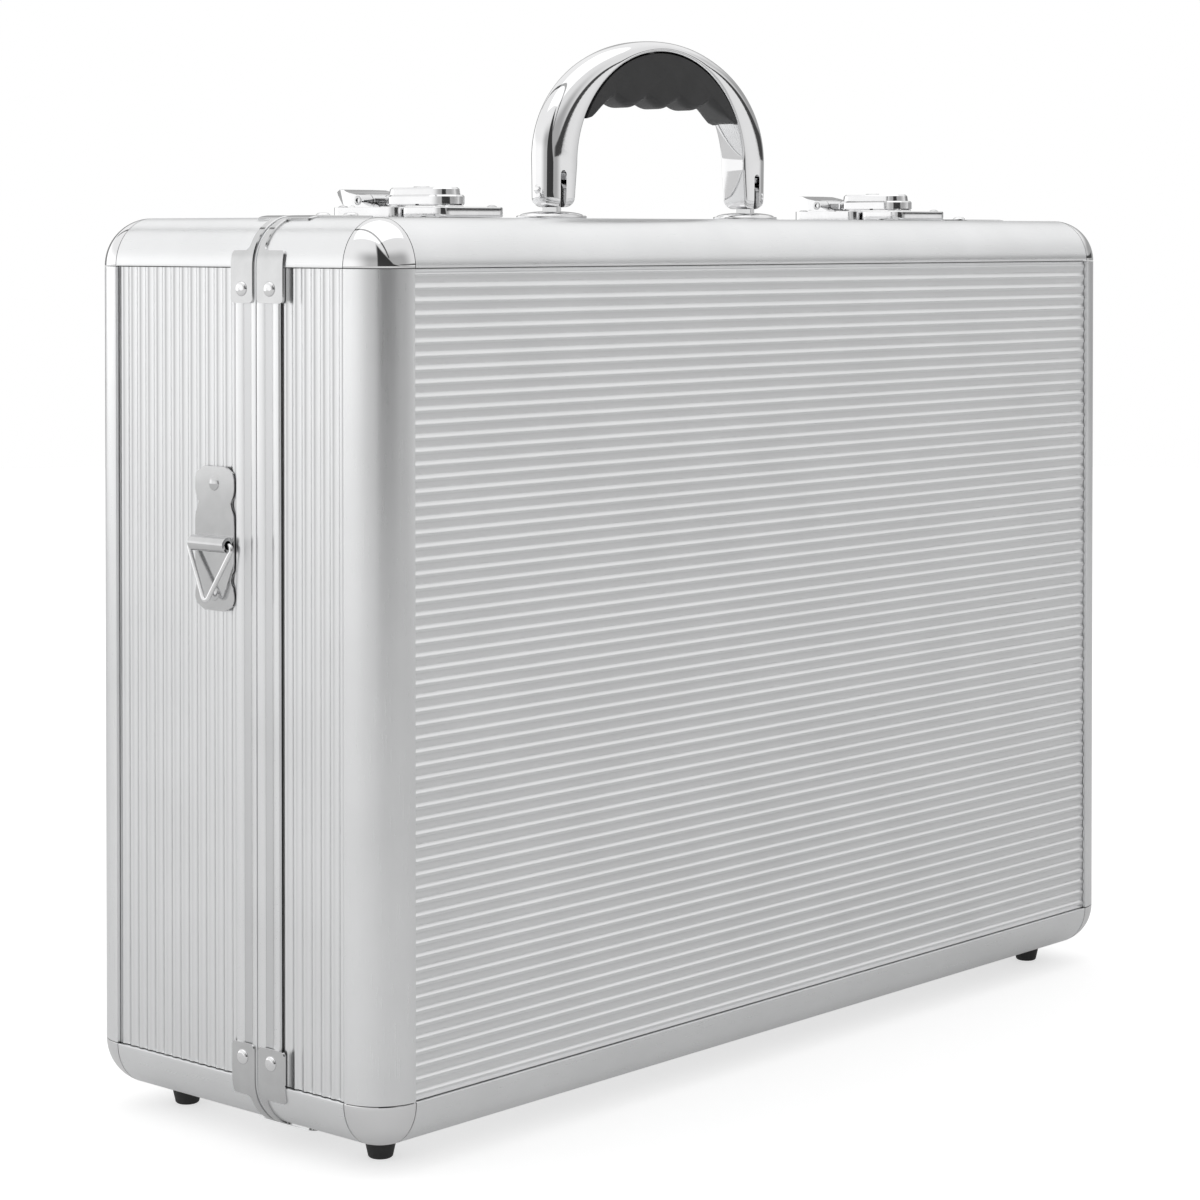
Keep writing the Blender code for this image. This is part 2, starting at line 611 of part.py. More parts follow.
def build_strap_ring(label, sign, parent):
    """Triangular wire ring through the knuckle, leaning out a little on the rivet below."""
    axis_x = sign * strap_axis_x()
    corners = [(-RING_HALF, 0), (0, -RING_DROP), (RING_HALF, 0)]
    rings = []
    for point, inward in rounded(corners, 1.6 * MM, 4):
        ring = []
        for k in range(8):
            a = math.tau * k / 8
            y = point.x + inward.x * WIRE_R * math.cos(a)
            z = point.y + inward.y * WIRE_R * math.cos(a)
            out = sign * WIRE_R * math.sin(a)
            ring.append((axis_x + out * math.cos(RING_LEAN) - sign * z * math.sin(RING_LEAN), STRAP_Y + y,
                         STRAP_KNUCKLE_Z + z * math.cos(RING_LEAN) + sign * out * math.sin(RING_LEAN)))
        rings.append(ring)
    add(f"strap_ring_{label}", loft(rings, closed=True), "nickel_plate", parent)


# -------------------------------------------------------------------- assembly

def build():
    for old in list(bpy.data.objects):
        bpy.data.objects.remove(old)
    lid_axis = pivot("lid_axis", (0, PARTING_Y, HINGE_Z))
    for shell, parent in (("base", None), ("lid", lid_axis)):
        build_panels(shell, parent)
        build_edges(shell, parent)
        build_rim(shell, parent)
        build_leaf(shell, parent)
        for label, sign in (("left", -1), ("right", 1)):
            build_foot(shell, label, sign, parent)
    handle_axis = pivot("handle_axis", (0, HANDLE_Y, PIN_Z))
    build_bail(handle_axis)
    build_grip(handle_axis)
    for label, sign in (("left", -1), ("right", 1)):
        build_mount(label, sign)
        x = sign * LATCH_X
        lever_axis = pivot(f"lever_axis_{label}", (x, *LEVER_PIVOT))
        hasp_axis = pivot(f"hasp_axis_{label}", (x, *BARREL), lever_axis)
        build_latch_plate(label, x)
        build_strike(label, x, lid_axis)
        build_lever(label, x, lever_axis)
        build_hasp(label, x, hasp_axis)
        build_plug(label, x, hasp_axis)
        build_strap_plate(label, sign)
        ring_axis = pivot(f"ring_axis_{label}", (sign * strap_axis_x(), STRAP_Y, STRAP_KNUCKLE_Z))
        build_strap_ring(label, sign, ring_axis)


build()
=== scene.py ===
"""Looks of the aluminium attache case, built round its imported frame.

The case stands on its feet with the handle up. X runs along the length, -Y is
the face of the shallow lid shell and +Y the face of the deep base shell.
"""

from __future__ import annotations

import json
import logging
import math
from dataclasses import dataclass, field
from enum import Enum
from itertools import product
from typing import Iterable, Sequence, Union

import bmesh
import bpy
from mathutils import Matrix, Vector

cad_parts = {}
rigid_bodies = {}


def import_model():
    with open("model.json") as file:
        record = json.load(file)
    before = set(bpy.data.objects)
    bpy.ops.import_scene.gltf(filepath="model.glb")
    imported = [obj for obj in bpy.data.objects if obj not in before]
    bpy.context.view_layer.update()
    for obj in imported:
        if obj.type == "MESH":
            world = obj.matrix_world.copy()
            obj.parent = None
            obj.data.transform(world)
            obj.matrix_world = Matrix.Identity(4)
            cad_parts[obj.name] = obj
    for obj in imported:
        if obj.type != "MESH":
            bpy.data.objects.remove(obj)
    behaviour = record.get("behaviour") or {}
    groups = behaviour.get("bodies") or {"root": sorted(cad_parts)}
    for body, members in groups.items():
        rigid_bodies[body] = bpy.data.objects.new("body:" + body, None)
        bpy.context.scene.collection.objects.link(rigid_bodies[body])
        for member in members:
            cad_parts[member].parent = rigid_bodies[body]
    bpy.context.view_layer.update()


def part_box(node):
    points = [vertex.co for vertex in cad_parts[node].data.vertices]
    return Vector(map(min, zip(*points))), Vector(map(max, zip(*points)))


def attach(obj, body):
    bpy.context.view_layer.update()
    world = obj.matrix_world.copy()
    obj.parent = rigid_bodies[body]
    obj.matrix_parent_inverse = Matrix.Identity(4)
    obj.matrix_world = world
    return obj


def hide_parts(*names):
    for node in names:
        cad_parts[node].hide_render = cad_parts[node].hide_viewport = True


MM = 0.001
LOG = logging.getLogger("attache_case")

RIGHT_ANGLE = math.pi / 2
WELD = 0.002 * MM  # points closer than this become one
FLAT = math.radians(1)  # faces that meet at less than this become one
NOISE_MIDDLE = (0.3, 0.7)  # where nearly all of a noise's values lie

Pair = tuple[float, float]
Triple = tuple[float, float, float]
Ring = Sequence[Sequence[float]]
Socket = bpy.types.NodeSocket
Value = Union[float, Socket]


class Shell(Enum):
    """The two halves of the case, by the body that carries each."""

    BASE = "base"
    LID = "lid"

    @property
    def side(self) -> int:
        """+1 for the base, which is at +Y, and -1 for the lid."""
        return 1 if self is Shell.BASE else -1


class Hand(Enum):
    """Left and right as seen from the lid's face."""

    LEFT = "left"
    RIGHT = "right"

    @property
    def sign(self) -> int:
        """The sign of X on this hand."""
        return -1 if self is Hand.LEFT else 1


class Level(Enum):
    """Bottom and top of the case."""

    BOTTOM = "bottom"
    TOP = "top"

    @property
    def sign(self) -> int:
        """The sign of the way out along Z."""
        return -1 if self is Level.BOTTOM else 1


class Grain(Enum):
    """The way the fine drawing lines of a metal run."""

    ALONG_X = (0.02, 1.0, 1.0)
    ALONG_Y = (1.0, 0.02, 1.0)
    ALONG_Z = (1.0, 1.0, 0.02)
    NONE = (1.0, 1.0, 1.0)

    @classmethod
    def along(cls, axis: str) -> Grain:
        """The grain that runs along x, y or z."""
        return cls[f"ALONG_{axis.upper()}"]


# ------------------------------------------------------------------- finishes


@dataclass(frozen=True)
class Nodes:
    """A node tree with short ways to add and join nodes."""

    tree: bpy.types.NodeTree

    def add(self, kind: str, **values: object) -> bpy.types.Node:
        """Adds a node and sets its plain attributes.

        Args:
            kind: The node's type name.
            values: Attributes of the node to set.

        Returns:
            The new node.
        """
        node = self.tree.nodes.new(kind)
        for key, value in values.items():
            setattr(node, key, value)
        return node

    def join(self, source: Socket, target: Socket) -> None:
        """Links one socket to another."""
        self.tree.links.new(source, target)

    def feed(self, target: Socket, value: Value) -> None:
        """Sets an input to a number, or links it to a socket."""
        if isinstance(value, (int, float)):
            target.default_value = value
        else:
            self.join(value, target)

    def noise(self, scale: Triple, detail: float, rough: float = 0.5) -> Socket:
        """Object-space noise, stretched by its scale on each axis.

        Args:
            scale: Cycles per metre on X, Y and Z.
            detail: Octaves of the noise.
            rough: How strongly the finer octaves count.

        Returns:
            The socket of the noise value.
        """
        where = self.add("ShaderNodeTexCoord")
        mapping = self.add("ShaderNodeMapping")
        mapping.inputs["Scale"].default_value = scale
        texture = self.add("ShaderNodeTexNoise")
        for key, value in (("Scale", 1.0), ("Detail", detail), ("Roughness", rough)):
            texture.inputs[key].default_value = value
        self.join(where.outputs["Object"], mapping.inputs["Vector"])
        self.join(mapping.outputs["Vector"], texture.inputs["Vector"])
        return texture.outputs["Fac"]

    def ramp(self, source: Socket, given: Pair, wanted: Pair = (0.0, 1.0), kind: str = "SMOOTHSTEP") -> Socket:
        """Maps a range of values onto another, and holds the ends.

        Args:
            source: The value to map.
            given: The range it has.
            wanted: The range it gets.
            kind: LINEAR, or SMOOTHSTEP to ease both ends.

        Returns:
            The socket of the mapped value.
        """
        node = self.add("ShaderNodeMapRange", interpolation_type=kind)
        for key, value in zip(("From Min", "From Max", "To Min", "To Max"), given + wanted):
            node.inputs[key].default_value = value
        self.join(source, node.inputs["Value"])
        return node.outputs["Result"]

    def span(self, noise: Socket, low: float, high: float) -> Socket:
        """Maps the middle of a noise value onto a range."""
        return self.ramp(noise, NOISE_MIDDLE, (low, high), "LINEAR")

    def blend(self, share: Socket, first: Triple, second: Triple) -> Socket:
        """Mixes two colours by a share."""
        node = self.add("ShaderNodeMix", data_type="RGBA")
        node.inputs["A"].default_value = (*first, 1)
        node.inputs["B"].default_value = (*second, 1)
        self.join(share, node.inputs["Factor"])
        return node.outputs["Result"]

    def choose(self, share: Socket, first: Value, second: Value) -> Socket:
        """Goes from a first number to a second by a share."""
        node = self.add("ShaderNodeMix", data_type="FLOAT")
        self.join(share, node.inputs["Factor"])
        self.feed(node.inputs["A"], first)
        self.feed(node.inputs["B"], second)
        return node.outputs["Result"]

    def maths(self, operation: str, *values: Value) -> Socket:
        """Folds values together, two at a time, by an operation of the math node."""
        result = values[0]
        for value in values[1:]:
            node = self.add("ShaderNodeMath", operation=operation)
            self.feed(node.inputs[0], result)
            self.feed(node.inputs[1], value)
            result = node.outputs["Value"]
        return result

    def bump(self, height: Socket, depth: float, shader: bpy.types.Node) -> None:
        """Lets a height stand out of a shader's surface.

        Args:
            height: The height, from 0 to 1.
            depth: What 1 stands for.
            shader: The shader to shape.
        """
        node = self.add("ShaderNodeBump")
        node.inputs["Strength"].default_value = 1.0
        node.inputs["Distance"].default_value = depth
        self.join(height, node.inputs["Height"])
        self.join(node.outputs["Normal"], shader.inputs["Normal"])


def scaled(colour: Triple, factor: float) -> Triple:
    """A colour made lighter or darker."""
    return (colour[0] * factor, colour[1] * factor, colour[2] * factor)


@dataclass(frozen=True)
class Finish:
    """A surface finish: its record slot, colour, gloss and the grain that gives it life."""

    name: str
    slot: str
    colour: Triple
    roughness: float
    metallic: float = 1.0
    grain: Grain = Grain.NONE
    grain_pitch: float = 0.35 * MM
    grain_depth: float = 0.004 * MM
    uneven: float = 0.10
    cloud: float = 28.0
    tint_swing: float = 0.03

    def material(self) -> bpy.types.Material:
        """Makes the material, or finds it if it was made before.

        Returns:
            The procedural material of this finish.
        """
        label = self.name + "_finish"
        found = bpy.data.materials.get(label)
        if found:
            return found
        made = bpy.data.materials.new(label)
        made.use_nodes = True
        nodes = Nodes(made.node_tree)
        shader = made.node_tree.nodes["Principled BSDF"]
        shader.inputs["Metallic"].default_value = self.metallic
        cloud = nodes.span(nodes.noise((self.cloud,) * 3, 3.0), 0.0, 1.0)
        darker, lighter = (scaled(self.colour, 1 + swing) for swing in (-self.tint_swing, self.tint_swing))
        nodes.join(nodes.blend(cloud, darker, lighter), shader.inputs["Base Color"])
        pitch = 1.0 / self.grain_pitch
        fine = nodes.noise(tuple(line * pitch for line in self.grain.value), 3.0, 0.6)
        low, high = (self.roughness * (1 + swing) for swing in (-self.uneven, self.uneven))
        nodes.join(nodes.span(fine, low, high), shader.inputs["Roughness"])
        nodes.bump(fine, self.grain_depth, shader)
        self.extras(nodes, shader)
        return made

    def extras(self, nodes: Nodes, shader: bpy.types.Node) -> None:
        """Adds what a kind of finish has beyond grain and colour; metal has nothing more."""


@dataclass(frozen=True)
class ClothFinish(Finish):
    """A woven lining with a soft sheen."""

    weave: float = 1.1 * MM
    thread: float = 0.12 * MM
    sheen: float = 0.35
    sheen_roughness: float = 0.6

    def extras(self, nodes: Nodes, shader: bpy.types.Node) -> None:
        """Adds the weave's bump and the sheen of its fibres.

        Args:
            nodes: The material's nodes.
            shader: Its Principled shader.
        """
        shader.inputs["Sheen Weight"].default_value = self.sheen
        shader.inputs["Sheen Roughness"].default_value = self.sheen_roughness
        where = nodes.add("ShaderNodeTexCoord")
        threads = []
        for direction in ("X", "Z"):
            wave = nodes.add("ShaderNodeTexWave", wave_type="BANDS", bands_direction=direction)
            wave.inputs["Scale"].default_value = 1 / (3.0 * self.weave)
            nodes.join(where.outputs["Object"], wave.inputs["Vector"])
            threads.append(wave.outputs["Fac"])
        nodes.bump(nodes.maths("MULTIPLY", *threads), self.thread, shader)


ALUMINIUM = (0.845, 0.85, 0.855)


def satin(grain: Grain) -> Finish:
    """Smooth anodised extrusion with its drawing lines along the length."""
    return Finish("satin_aluminium_" + grain.name.lower(), "satin_aluminium", ALUMINIUM, 0.30, grain=grain)


def ribbed(grain: Grain) -> Finish:
    """Anodised sheet with its rolling lines along the beads."""
    return Finish("ribbed_aluminium_" + grain.name.lower(), "ribbed_aluminium", ALUMINIUM, 0.33,
                  grain=grain, tint_swing=0.02)


# Darker copy of the satin aluminium: painted shade for the recessed flat in each rim's groove.
PAINTED_GROOVE_SHADE = Finish("painted_groove_shade", "satin_aluminium", (0.68, 0.684, 0.69), 0.33, tint_swing=0.02)
CHROME = Finish("polished_chrome", "chrome", (0.81, 0.81, 0.815), 0.04,
                grain_depth=0.0004 * MM, uneven=0.4, cloud=90.0, tint_swing=0.015)
NICKEL = Finish("nickel_plate", "nickel_plate", (0.63, 0.632, 0.635), 0.10,
                grain_depth=0.003 * MM, uneven=0.25, cloud=140.0, tint_swing=0.04)
LATCH_STEEL = Finish("bright_latch_steel", "latch_steel", (0.83, 0.83, 0.835), 0.09,
                     grain_depth=0.002 * MM, uneven=0.35, cloud=160.0, tint_swing=0.03)
GRIP = Finish("grip_plastic", "grip_plastic", (0.036, 0.036, 0.037), 0.46, 0.0,
              grain_pitch=0.5 * MM, grain_depth=0.03 * MM, uneven=0.18, cloud=120.0, tint_swing=0.12)
RUBBER = Finish("foot_rubber", "foot_rubber", (0.028, 0.028, 0.028), 0.68, 0.0,
                grain_pitch=0.4 * MM, grain_depth=0.05 * MM, uneven=0.15, cloud=200.0, tint_swing=0.2)
# Near-black strip at the step between each rim and its ribbed walls: painted shadow where the step's shade falls.
PAINTED_SHADOW_STRIP = Finish("painted_shadow_strip", "foot_rubber", (0.012, 0.012, 0.012), 0.75, 0.0,
              grain_pitch=0.4 * MM, grain_depth=0.02 * MM, tint_swing=0.1)
LINING = ClothFinish("lining_cloth", "grip_plastic", (0.035, 0.036, 0.040), 0.85, 0.0,
                     uneven=0.08, cloud=60.0, tint_swing=0.18)


# ---------------------------------------------------------------- mesh making


def arc(across: float, up: float, steps: int, start: float = 0.0, end: float = RIGHT_ANGLE) -> list[Pair]:
    """Points of an ellipse about its centre.

    Args:
        across: Half its width.
        up: Half its height.
        steps: Steps of the arc.
        start: Angle of the first point.
        end: Angle of the last point.

    Returns:
        The points, in order.
    """
    angles = [start + (end - start) * k / steps for k in range(steps + 1)]
    return [(across * math.cos(angle), up * math.sin(angle)) for angle in angles]


def skin(rings: Iterable[Ring], closed: bool = False) -> bmesh.types.BMesh:
    """Skins a row of equal rings; an open row is capped at both ends.

    Args:
        rings: Rings of points, all with as many points.
        closed: Whether the last ring joins the first.

    Returns:
        The mesh, with its normals outwards.
    """
    mesh = bmesh.new()
    rows = [[mesh.verts.new(point) for point in ring] for ring in rings]
    pairs = list(zip(rows, rows[1:])) + ([(rows[-1], rows[0])] if closed else [])
    for low, high in pairs:
        for i in range(len(low)):
            j = (i + 1) % len(low)
            mesh.faces.new((low[i], low[j], high[j], high[i]))
    if not closed:
        mesh.faces.new(rows[0])
        mesh.faces.new(rows[-1])
    bmesh.ops.remove_doubles(mesh, verts=mesh.verts, dist=WELD)
    bare = [edge for edge in mesh.edges if not edge.link_faces]
    bmesh.ops.delete(mesh, geom=bare, context="EDGES")
    bmesh.ops.recalc_face_normals(mesh, faces=mesh.faces)
    return mesh


def place(axis: str, a: float, b: float, along: float) -> Triple:
    """Puts a flat outline's (a, b) at a distance along x, y or z."""
    return {"x": (along, a, b), "y": (a, along, b), "z": (a, b, along)}[axis]


def prism(outline: Sequence[Pair], axis: str, start: float, end: float) -> bmesh.types.BMesh:
    """A flat outline drawn out along an axis."""
    return skin([[place(axis, a, b, t) for a, b in outline] for t in (start, end)])


def turned(profile: Sequence[Pair], axis: str, centre: Sequence[float], sides: int = 32) -> bmesh.types.BMesh:
    """Turns a closed profile round an axis.

    Args:
        profile: (radius, distance along the axis) points.
        axis: x, y or z.
        centre: A point on the axis, from which distances count.
        sides: Steps of the turn.

    Returns:
        The turned mesh.
    """
    rings = []
    for k in range(sides):
        angle = math.tau * k / sides
        rings.append([Vector(place(axis, r * math.cos(angle), r * math.sin(angle), h)) + Vector(centre)
                      for r, h in profile])
    return skin(rings, closed=True)


def swept(path: Sequence[Vector], radius: float, sides: int = 12, closed: bool = False) -> bmesh.types.BMesh:
    """A round wire along a path.

    Args:
        path: Points of its centreline.
        radius: Radius of the wire.
        sides: Points round the wire.
        closed: Whether the wire is a loop.

    Returns:
        The wire's mesh.
    """
    rings = []
    count = len(path)
    side = None
    for i, point in enumerate(path):
        ahead = path[(i + 1) % count] if closed or i + 1 < count else point
        back = path[i - 1] if closed or i else point
        along = (ahead - back).normalized()
        guess = side if side is not None else along.orthogonal()
        side = (guess - along * guess.dot(along)).normalized()
        other = along.cross(side)
        turns = [math.tau * k / sides for k in range(sides)]
        rings.append([point + (side * math.cos(turn) + other * math.sin(turn)) * radius for turn in turns])
    return skin(rings, closed=closed)


def merged(*meshes: bmesh.types.BMesh) -> bmesh.types.BMesh:
    """Puts several meshes into one."""
    whole = bmesh.new()
    for mesh in meshes:
        data = bpy.data.meshes.new("part")
        mesh.to_mesh(data)
        mesh.free()
        whole.from_mesh(data)
        bpy.data.meshes.remove(data)
    return whole


def rounded_path(corners: Sequence[Pair], radius: float, steps: int) -> list[tuple[Vector, Vector]]:
    """A closed outline with round corners.

    Args:
        corners: Its sharp corners, in order.
        radius: Radius of the rounding.
        steps: Steps of each rounding.

    Returns:
        (point, inward normal) pairs along the outline.
    """
    path = []
    for i, corner in enumerate(corners):
        here = Vector(corner)
        back = (Vector(corners[i - 1]) - here).normalized()
        ahead = (Vector(corners[(i + 1) % len(corners)]) - here).normalized()
        half = back.angle(ahead) / 2
        centre = here + (back + ahead).normalized() * (radius / math.sin(half))
        start = (here + back * radius / math.tan(half)) - centre
        end = (here + ahead * radius / math.tan(half)) - centre
        turn = start.angle(end)
        for k in range(steps + 1):
            share = k / steps
            out = (start * math.sin((1 - share) * turn) + end * math.sin(share * turn)) / math.sin(turn)
            path.append((centre + out, -out.normalized()))
    return path


def rounded_box(low: Pair, high: Pair, radius: float, steps: int = 6) -> list[Pair]:
    """The outline of a rectangle with round corners."""
    (a0, b0), (a1, b1) = low, high
    corners = [(a0, b0), (a1, b0), (a1, b1), (a0, b1)]
    return [(point.x, point.y) for point, _ in rounded_path(corners, radius, steps)]


def smooth_step(value: float) -> float:
    """0 below 0, 1 above 1, and a smooth rise between them."""
    value = min(1.0, max(0.0, value))
    return value * value * (3 - 2 * value)


def carved(mesh: bmesh.types.BMesh, tool: bmesh.types.BMesh) -> bmesh.types.BMesh:
    """Cuts one closed mesh with another.

    Args:
        mesh: The mesh to cut, which this frees.
        tool: The mesh to cut away, which this frees.

    Returns:
        What is left.
    """
    objects = []
    for source in (mesh, tool):
        data = bpy.data.meshes.new("carving")
        source.to_mesh(data)
        source.free()
        objects.append(bpy.data.objects.new("carving", data))
        bpy.context.scene.collection.objects.link(objects[-1])
    modifier = objects[0].modifiers.new("carve", "BOOLEAN")
    modifier.operation = "DIFFERENCE"
    modifier.solver = "EXACT"
    modifier.object = objects[1]
    shaped = objects[0].evaluated_get(bpy.context.evaluated_depsgraph_get()).to_mesh()
    result = bmesh.new()
    result.from_mesh(shaped)
    for made in objects:
        data = made.data
        bpy.data.objects.remove(made)
        bpy.data.meshes.remove(data)
    return result


def node_mesh(node: str) -> bmesh.types.BMesh:
    """The closed solid of a CAD node, with its flat faces whole again."""
    mesh = bmesh.new()
    mesh.from_mesh(bpy.data.objects[node].data)
    bmesh.ops.remove_doubles(mesh, verts=mesh.verts, dist=WELD)
    bmesh.ops.dissolve_limit(mesh, angle_limit=FLAT, verts=mesh.verts, edges=mesh.edges)
    return mesh


@dataclass
class Piece:
    """How one visible piece is finished and what it rides on."""

    name: str
    finish: Finish
    body: str
    replaces: tuple[str, ...] = ()
    soften: float = 0.0
    soften_steps: int = 2
    crease: float = 34.0

    def make(self, mesh: bmesh.types.BMesh) -> bpy.types.Object:
        """Turns a mesh into the piece.

        Args:
            mesh: The piece's mesh, which this frees.

        Returns:
            The new object, riding on its body.
        """
        data = bpy.data.meshes.new(self.name)
        mesh.to_mesh(data)
        mesh.free()
        data.shade_smooth()
        piece = bpy.data.objects.new(self.name, data)
        bpy.context.scene.collection.objects.link(piece)
        data.materials.clear()
        data.materials.append(self.finish.material())
        if self.soften:
            bevel = piece.modifiers.new("soft_edges", "BEVEL")
            bevel.width = self.soften
            bevel.segments = self.soften_steps
            bevel.limit_method = "ANGLE"
            bevel.angle_limit = math.radians(self.crease)
            level = piece.modifiers.new("even_shading", "WEIGHTED_NORMAL")
            level.keep_sharp = False
        else:
            data.set_sharp_from_angle(angle=math.radians(self.crease))
        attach(piece, self.body)
        if self.replaces:
            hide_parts(*self.replaces)
        LOG.info("piece %s on %s, in %s", self.name, self.body, self.finish.name)
        return piece


def pressed(node: str, finish: Finish, body: str, soften: float) -> None:
    """Builds a small pressing from its CAD node's solid, with soft edges.

    Args:
        node: The CAD node.
        finish: Its finish.
        body: The body it rides on.
        soften: Width of its softened edges.
    """
    Piece(node + "_pressing", finish, body, (node,), soften=soften, crease=30.0).make(node_mesh(node))


# -------------------------------------------------------------------- the case


@dataclass
class CaseSize:
    """The sizes every sub-assembly shares, read from the frame."""

    half_w: float = field(init=False)
    half_d: float = field(init=False)
    bottom: float = field(init=False)
    top: float = field(init=False)
    parting: float = field(init=False)
    edge: float = field(init=False)
    skin: float = 4.4 * MM
    recess: float = 1.5 * MM
    gap: float = 0.3 * MM
    rim_play: float = 0.2 * MM

    def __post_init__(self) -> None:
        """Reads the frame's boxes."""
        low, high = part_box("base_rim")
        cap_low, cap_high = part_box("base_cap_top_right")
        self.half_w, self.bottom, self.top = high.x, low.z, high.z
        self.half_d = cap_high.y
        self.edge = cap_high.x - cap_low.x
        self.parting = low.y - self.rim_play

    def corner_x(self, hand: Hand) -> float:
        """X of the centre that the rounded edges on one hand turn about."""
        return hand.sign * (self.half_w - self.edge)

    def corner_z(self, level: Level) -> float:
        """Z of the centre that the rounded edges at one level turn about."""
        return self.top - self.edge if level is Level.TOP else self.bottom + self.edge

    def rim_back(self, shell: Shell) -> float:
        """Where a shell's rim ends and its ribbed walls begin."""
        low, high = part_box(f"{shell.value}_rim")
        return high.y if shell is Shell.BASE else low.y


@dataclass
class RibbedSheets:
    """The large face and the four walls of each shell, rolled with fine round beads."""

    size: CaseSize
    pitch: float = 4.785 * MM
    rise: float = 0.5 * MM
    half_bead: float = 1.0 * MM
    bead_steps: int = 8
    bead_shape: float = 0.7  # 0.5 is round; more is more pointed
    least_margin: float = 0.7  # of a pitch, both ends of a sheet together

    def outline(self, start: float, end: float, face: float, inward: int) -> list[Pair]:
        """Section of a sheet.

        Args:
            start: Where the section starts, across the beads.
            end: Where it ends.
            face: Level of the flats between beads.
            inward: +1 or -1, the way from the face into the case.

        Returns:
            Closed outline of (across, level) points.
        """
        middle = (start + end) / 2
        count = int((end - start - self.least_margin * self.pitch) / self.pitch) + 1
        points = [(start, face)]
        for k in range(count):
            bead = middle + (k - (count - 1) / 2) * self.pitch
            for j in range(self.bead_steps + 1):
                share = 2 * j / self.bead_steps - 1
                lift = self.rise * (1 - share * share) ** self.bead_shape
                points.append((bead + share * self.half_bead, face - inward * lift))
        back = face + inward * (self.size.skin - self.size.recess)
        return points + [(end, face), (end, back), (start, back)]

    def wall(self, node: str, body: str, across: str, level: str, inward: int) -> None:
        """Builds one sheet in place of its CAD node.

        Args:
            node: The CAD node.
            body: The body it rides on.
            across: Axis across the beads.
            level: Axis of the sheet's thickness.
            inward: The way from the face into the case along that axis.
        """
        low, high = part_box(node)
        run = ({"x", "y", "z"} - {across, level}).pop()
        crest = getattr(low if inward > 0 else high, level)
        face = crest + inward * self.rise
        section = self.outline(getattr(low, across), getattr(high, across), face, inward)
        order = {"x": ("y", "z"), "y": ("x", "z"), "z": ("x", "y")}[run]
        if order != (across, level):
            section = [(b, a) for a, b in section]
        mesh = prism(section, run, getattr(low, run), getattr(high, run))
        Piece(node + "_sheet", ribbed(Grain.along(run)), body, (node,), crease=50.0).make(mesh)

    def build(self) -> None:
        """Builds all ten sheets."""
        for shell in Shell:
            body = shell.value
            big = "lid_front_panel" if shell is Shell.LID else "base_back_panel"
            self.wall(big, body, "z", "y", -shell.side)
            for hand in Hand:
                self.wall(f"{body}_{hand.value}_wall", body, "y", "x", -hand.sign)
            for level in Level:
                self.wall(f"{body}_{level.value}_wall", body, "y", "z", -level.sign)


@dataclass
class EdgeExtrusions:
    """The quarter-round extrusions and the ball corners that close them."""

    size: CaseSize
    lip: float = 0.22 * MM
    ball_lip: float = 0.25 * MM
    post_short: float = 0.01 * MM
    arc_steps: int = 26
    hollow_steps: int = 12
    ball_steps: int = 20
    ball_hollow_steps: int = 8

    def section(self, centre: Pair, signs: Pair) -> list[Pair]:
        """Quarter-round section with softly rolled lips.

        Args:
            centre: Centre of the round.
            signs: Which way it bulges on each axis.

        Returns:
            The closed section.
        """
        outer, inner, lip = self.size.edge, self.size.edge - self.size.skin, self.lip
        roll = [(outer - lip, 0.0), (outer - 0.45 * lip, 0.12 * lip), (outer - 0.12 * lip, 0.45 * lip)]
        first = math.asin(lip / outer)
        bulge = arc(outer, outer, self.arc_steps, first, RIGHT_ANGLE - first)
        whole = roll + bulge + [(b, a) for a, b in reversed(roll)] + arc(inner, inner, self.hollow_steps)[::-1]
        return [(centre[0] + signs[0] * a, centre[1] + signs[1] * b) for a, b in whole]

    def bar(self, node: str, body: str, axis: str, centre: Pair, signs: Pair) -> None:
        """One straight extrusion in place of its CAD node.

        Args:
            node: The CAD node.
            body: The body it rides on.
            axis: The way it runs.
            centre: Centre of the round, across that axis.
            signs: Which ways it bulges.
        """
        low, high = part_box(node)
        start, end = getattr(low, axis), getattr(high, axis)
        if axis == "y":
            closing = self.size.gap - self.post_short
            start, end = (start - closing, end) if body == Shell.BASE.value else (start, end + closing)
        mesh = prism(self.section(centre, signs), axis, start, end)
        Piece(node + "_bar", satin(Grain.along(axis)), body, (node,), crease=50.0).make(mesh)

    def ball(self, node: str, body: str, centre: Triple, signs: Triple) -> None:
        """One ball corner: an eighth of a ball with rolled borders.

        Args:
            node: The CAD node.
            body: The body it rides on.
            centre: Centre of the ball.
            signs: Which octant it fills.
        """
        outer, inner, lip = self.size.edge, self.size.edge - self.size.skin, self.ball_lip
        profile = [(outer - 0.3 * lip, 0.0), (outer, lip)] + arc(outer, outer, self.ball_steps)[1:]
        profile += arc(inner, inner, self.ball_hollow_steps)[::-1]
        rings = [[(centre[0] + signs[0] * r * a, centre[1] + signs[1] * r * b, centre[2] + signs[2] * h)
                  for r, h in profile] for a, b in arc(1.0, 1.0, self.ball_steps)]
        Piece(node + "_ball", CHROME, body, (node,), crease=50.0).make(skin(rings))

    def build(self) -> None:
        """Builds the sixteen bars and eight ball corners."""
        size = self.size
        for shell in Shell:
            body, side = shell.value, shell.side
            cy = side * (size.half_d - size.edge)
            for level in Level:
                centre = (cy, size.corner_z(level))
                self.bar(f"{body}_edge_{level.value}", body, "x", centre, (side, level.sign))
            for hand in Hand:
                x = size.corner_x(hand)
                self.bar(f"{body}_edge_{hand.value}", body, "z", (x, cy), (hand.sign, side))
                for level in Level:
                    name, z = f"{level.value}_{hand.value}", size.corner_z(level)
                    self.bar(f"{body}_post_{name}", body, "y", (x, z), (hand.sign, level.sign))
                    self.ball(f"{body}_cap_{name}", body, (x, cy, z), (hand.sign, side, level.sign))


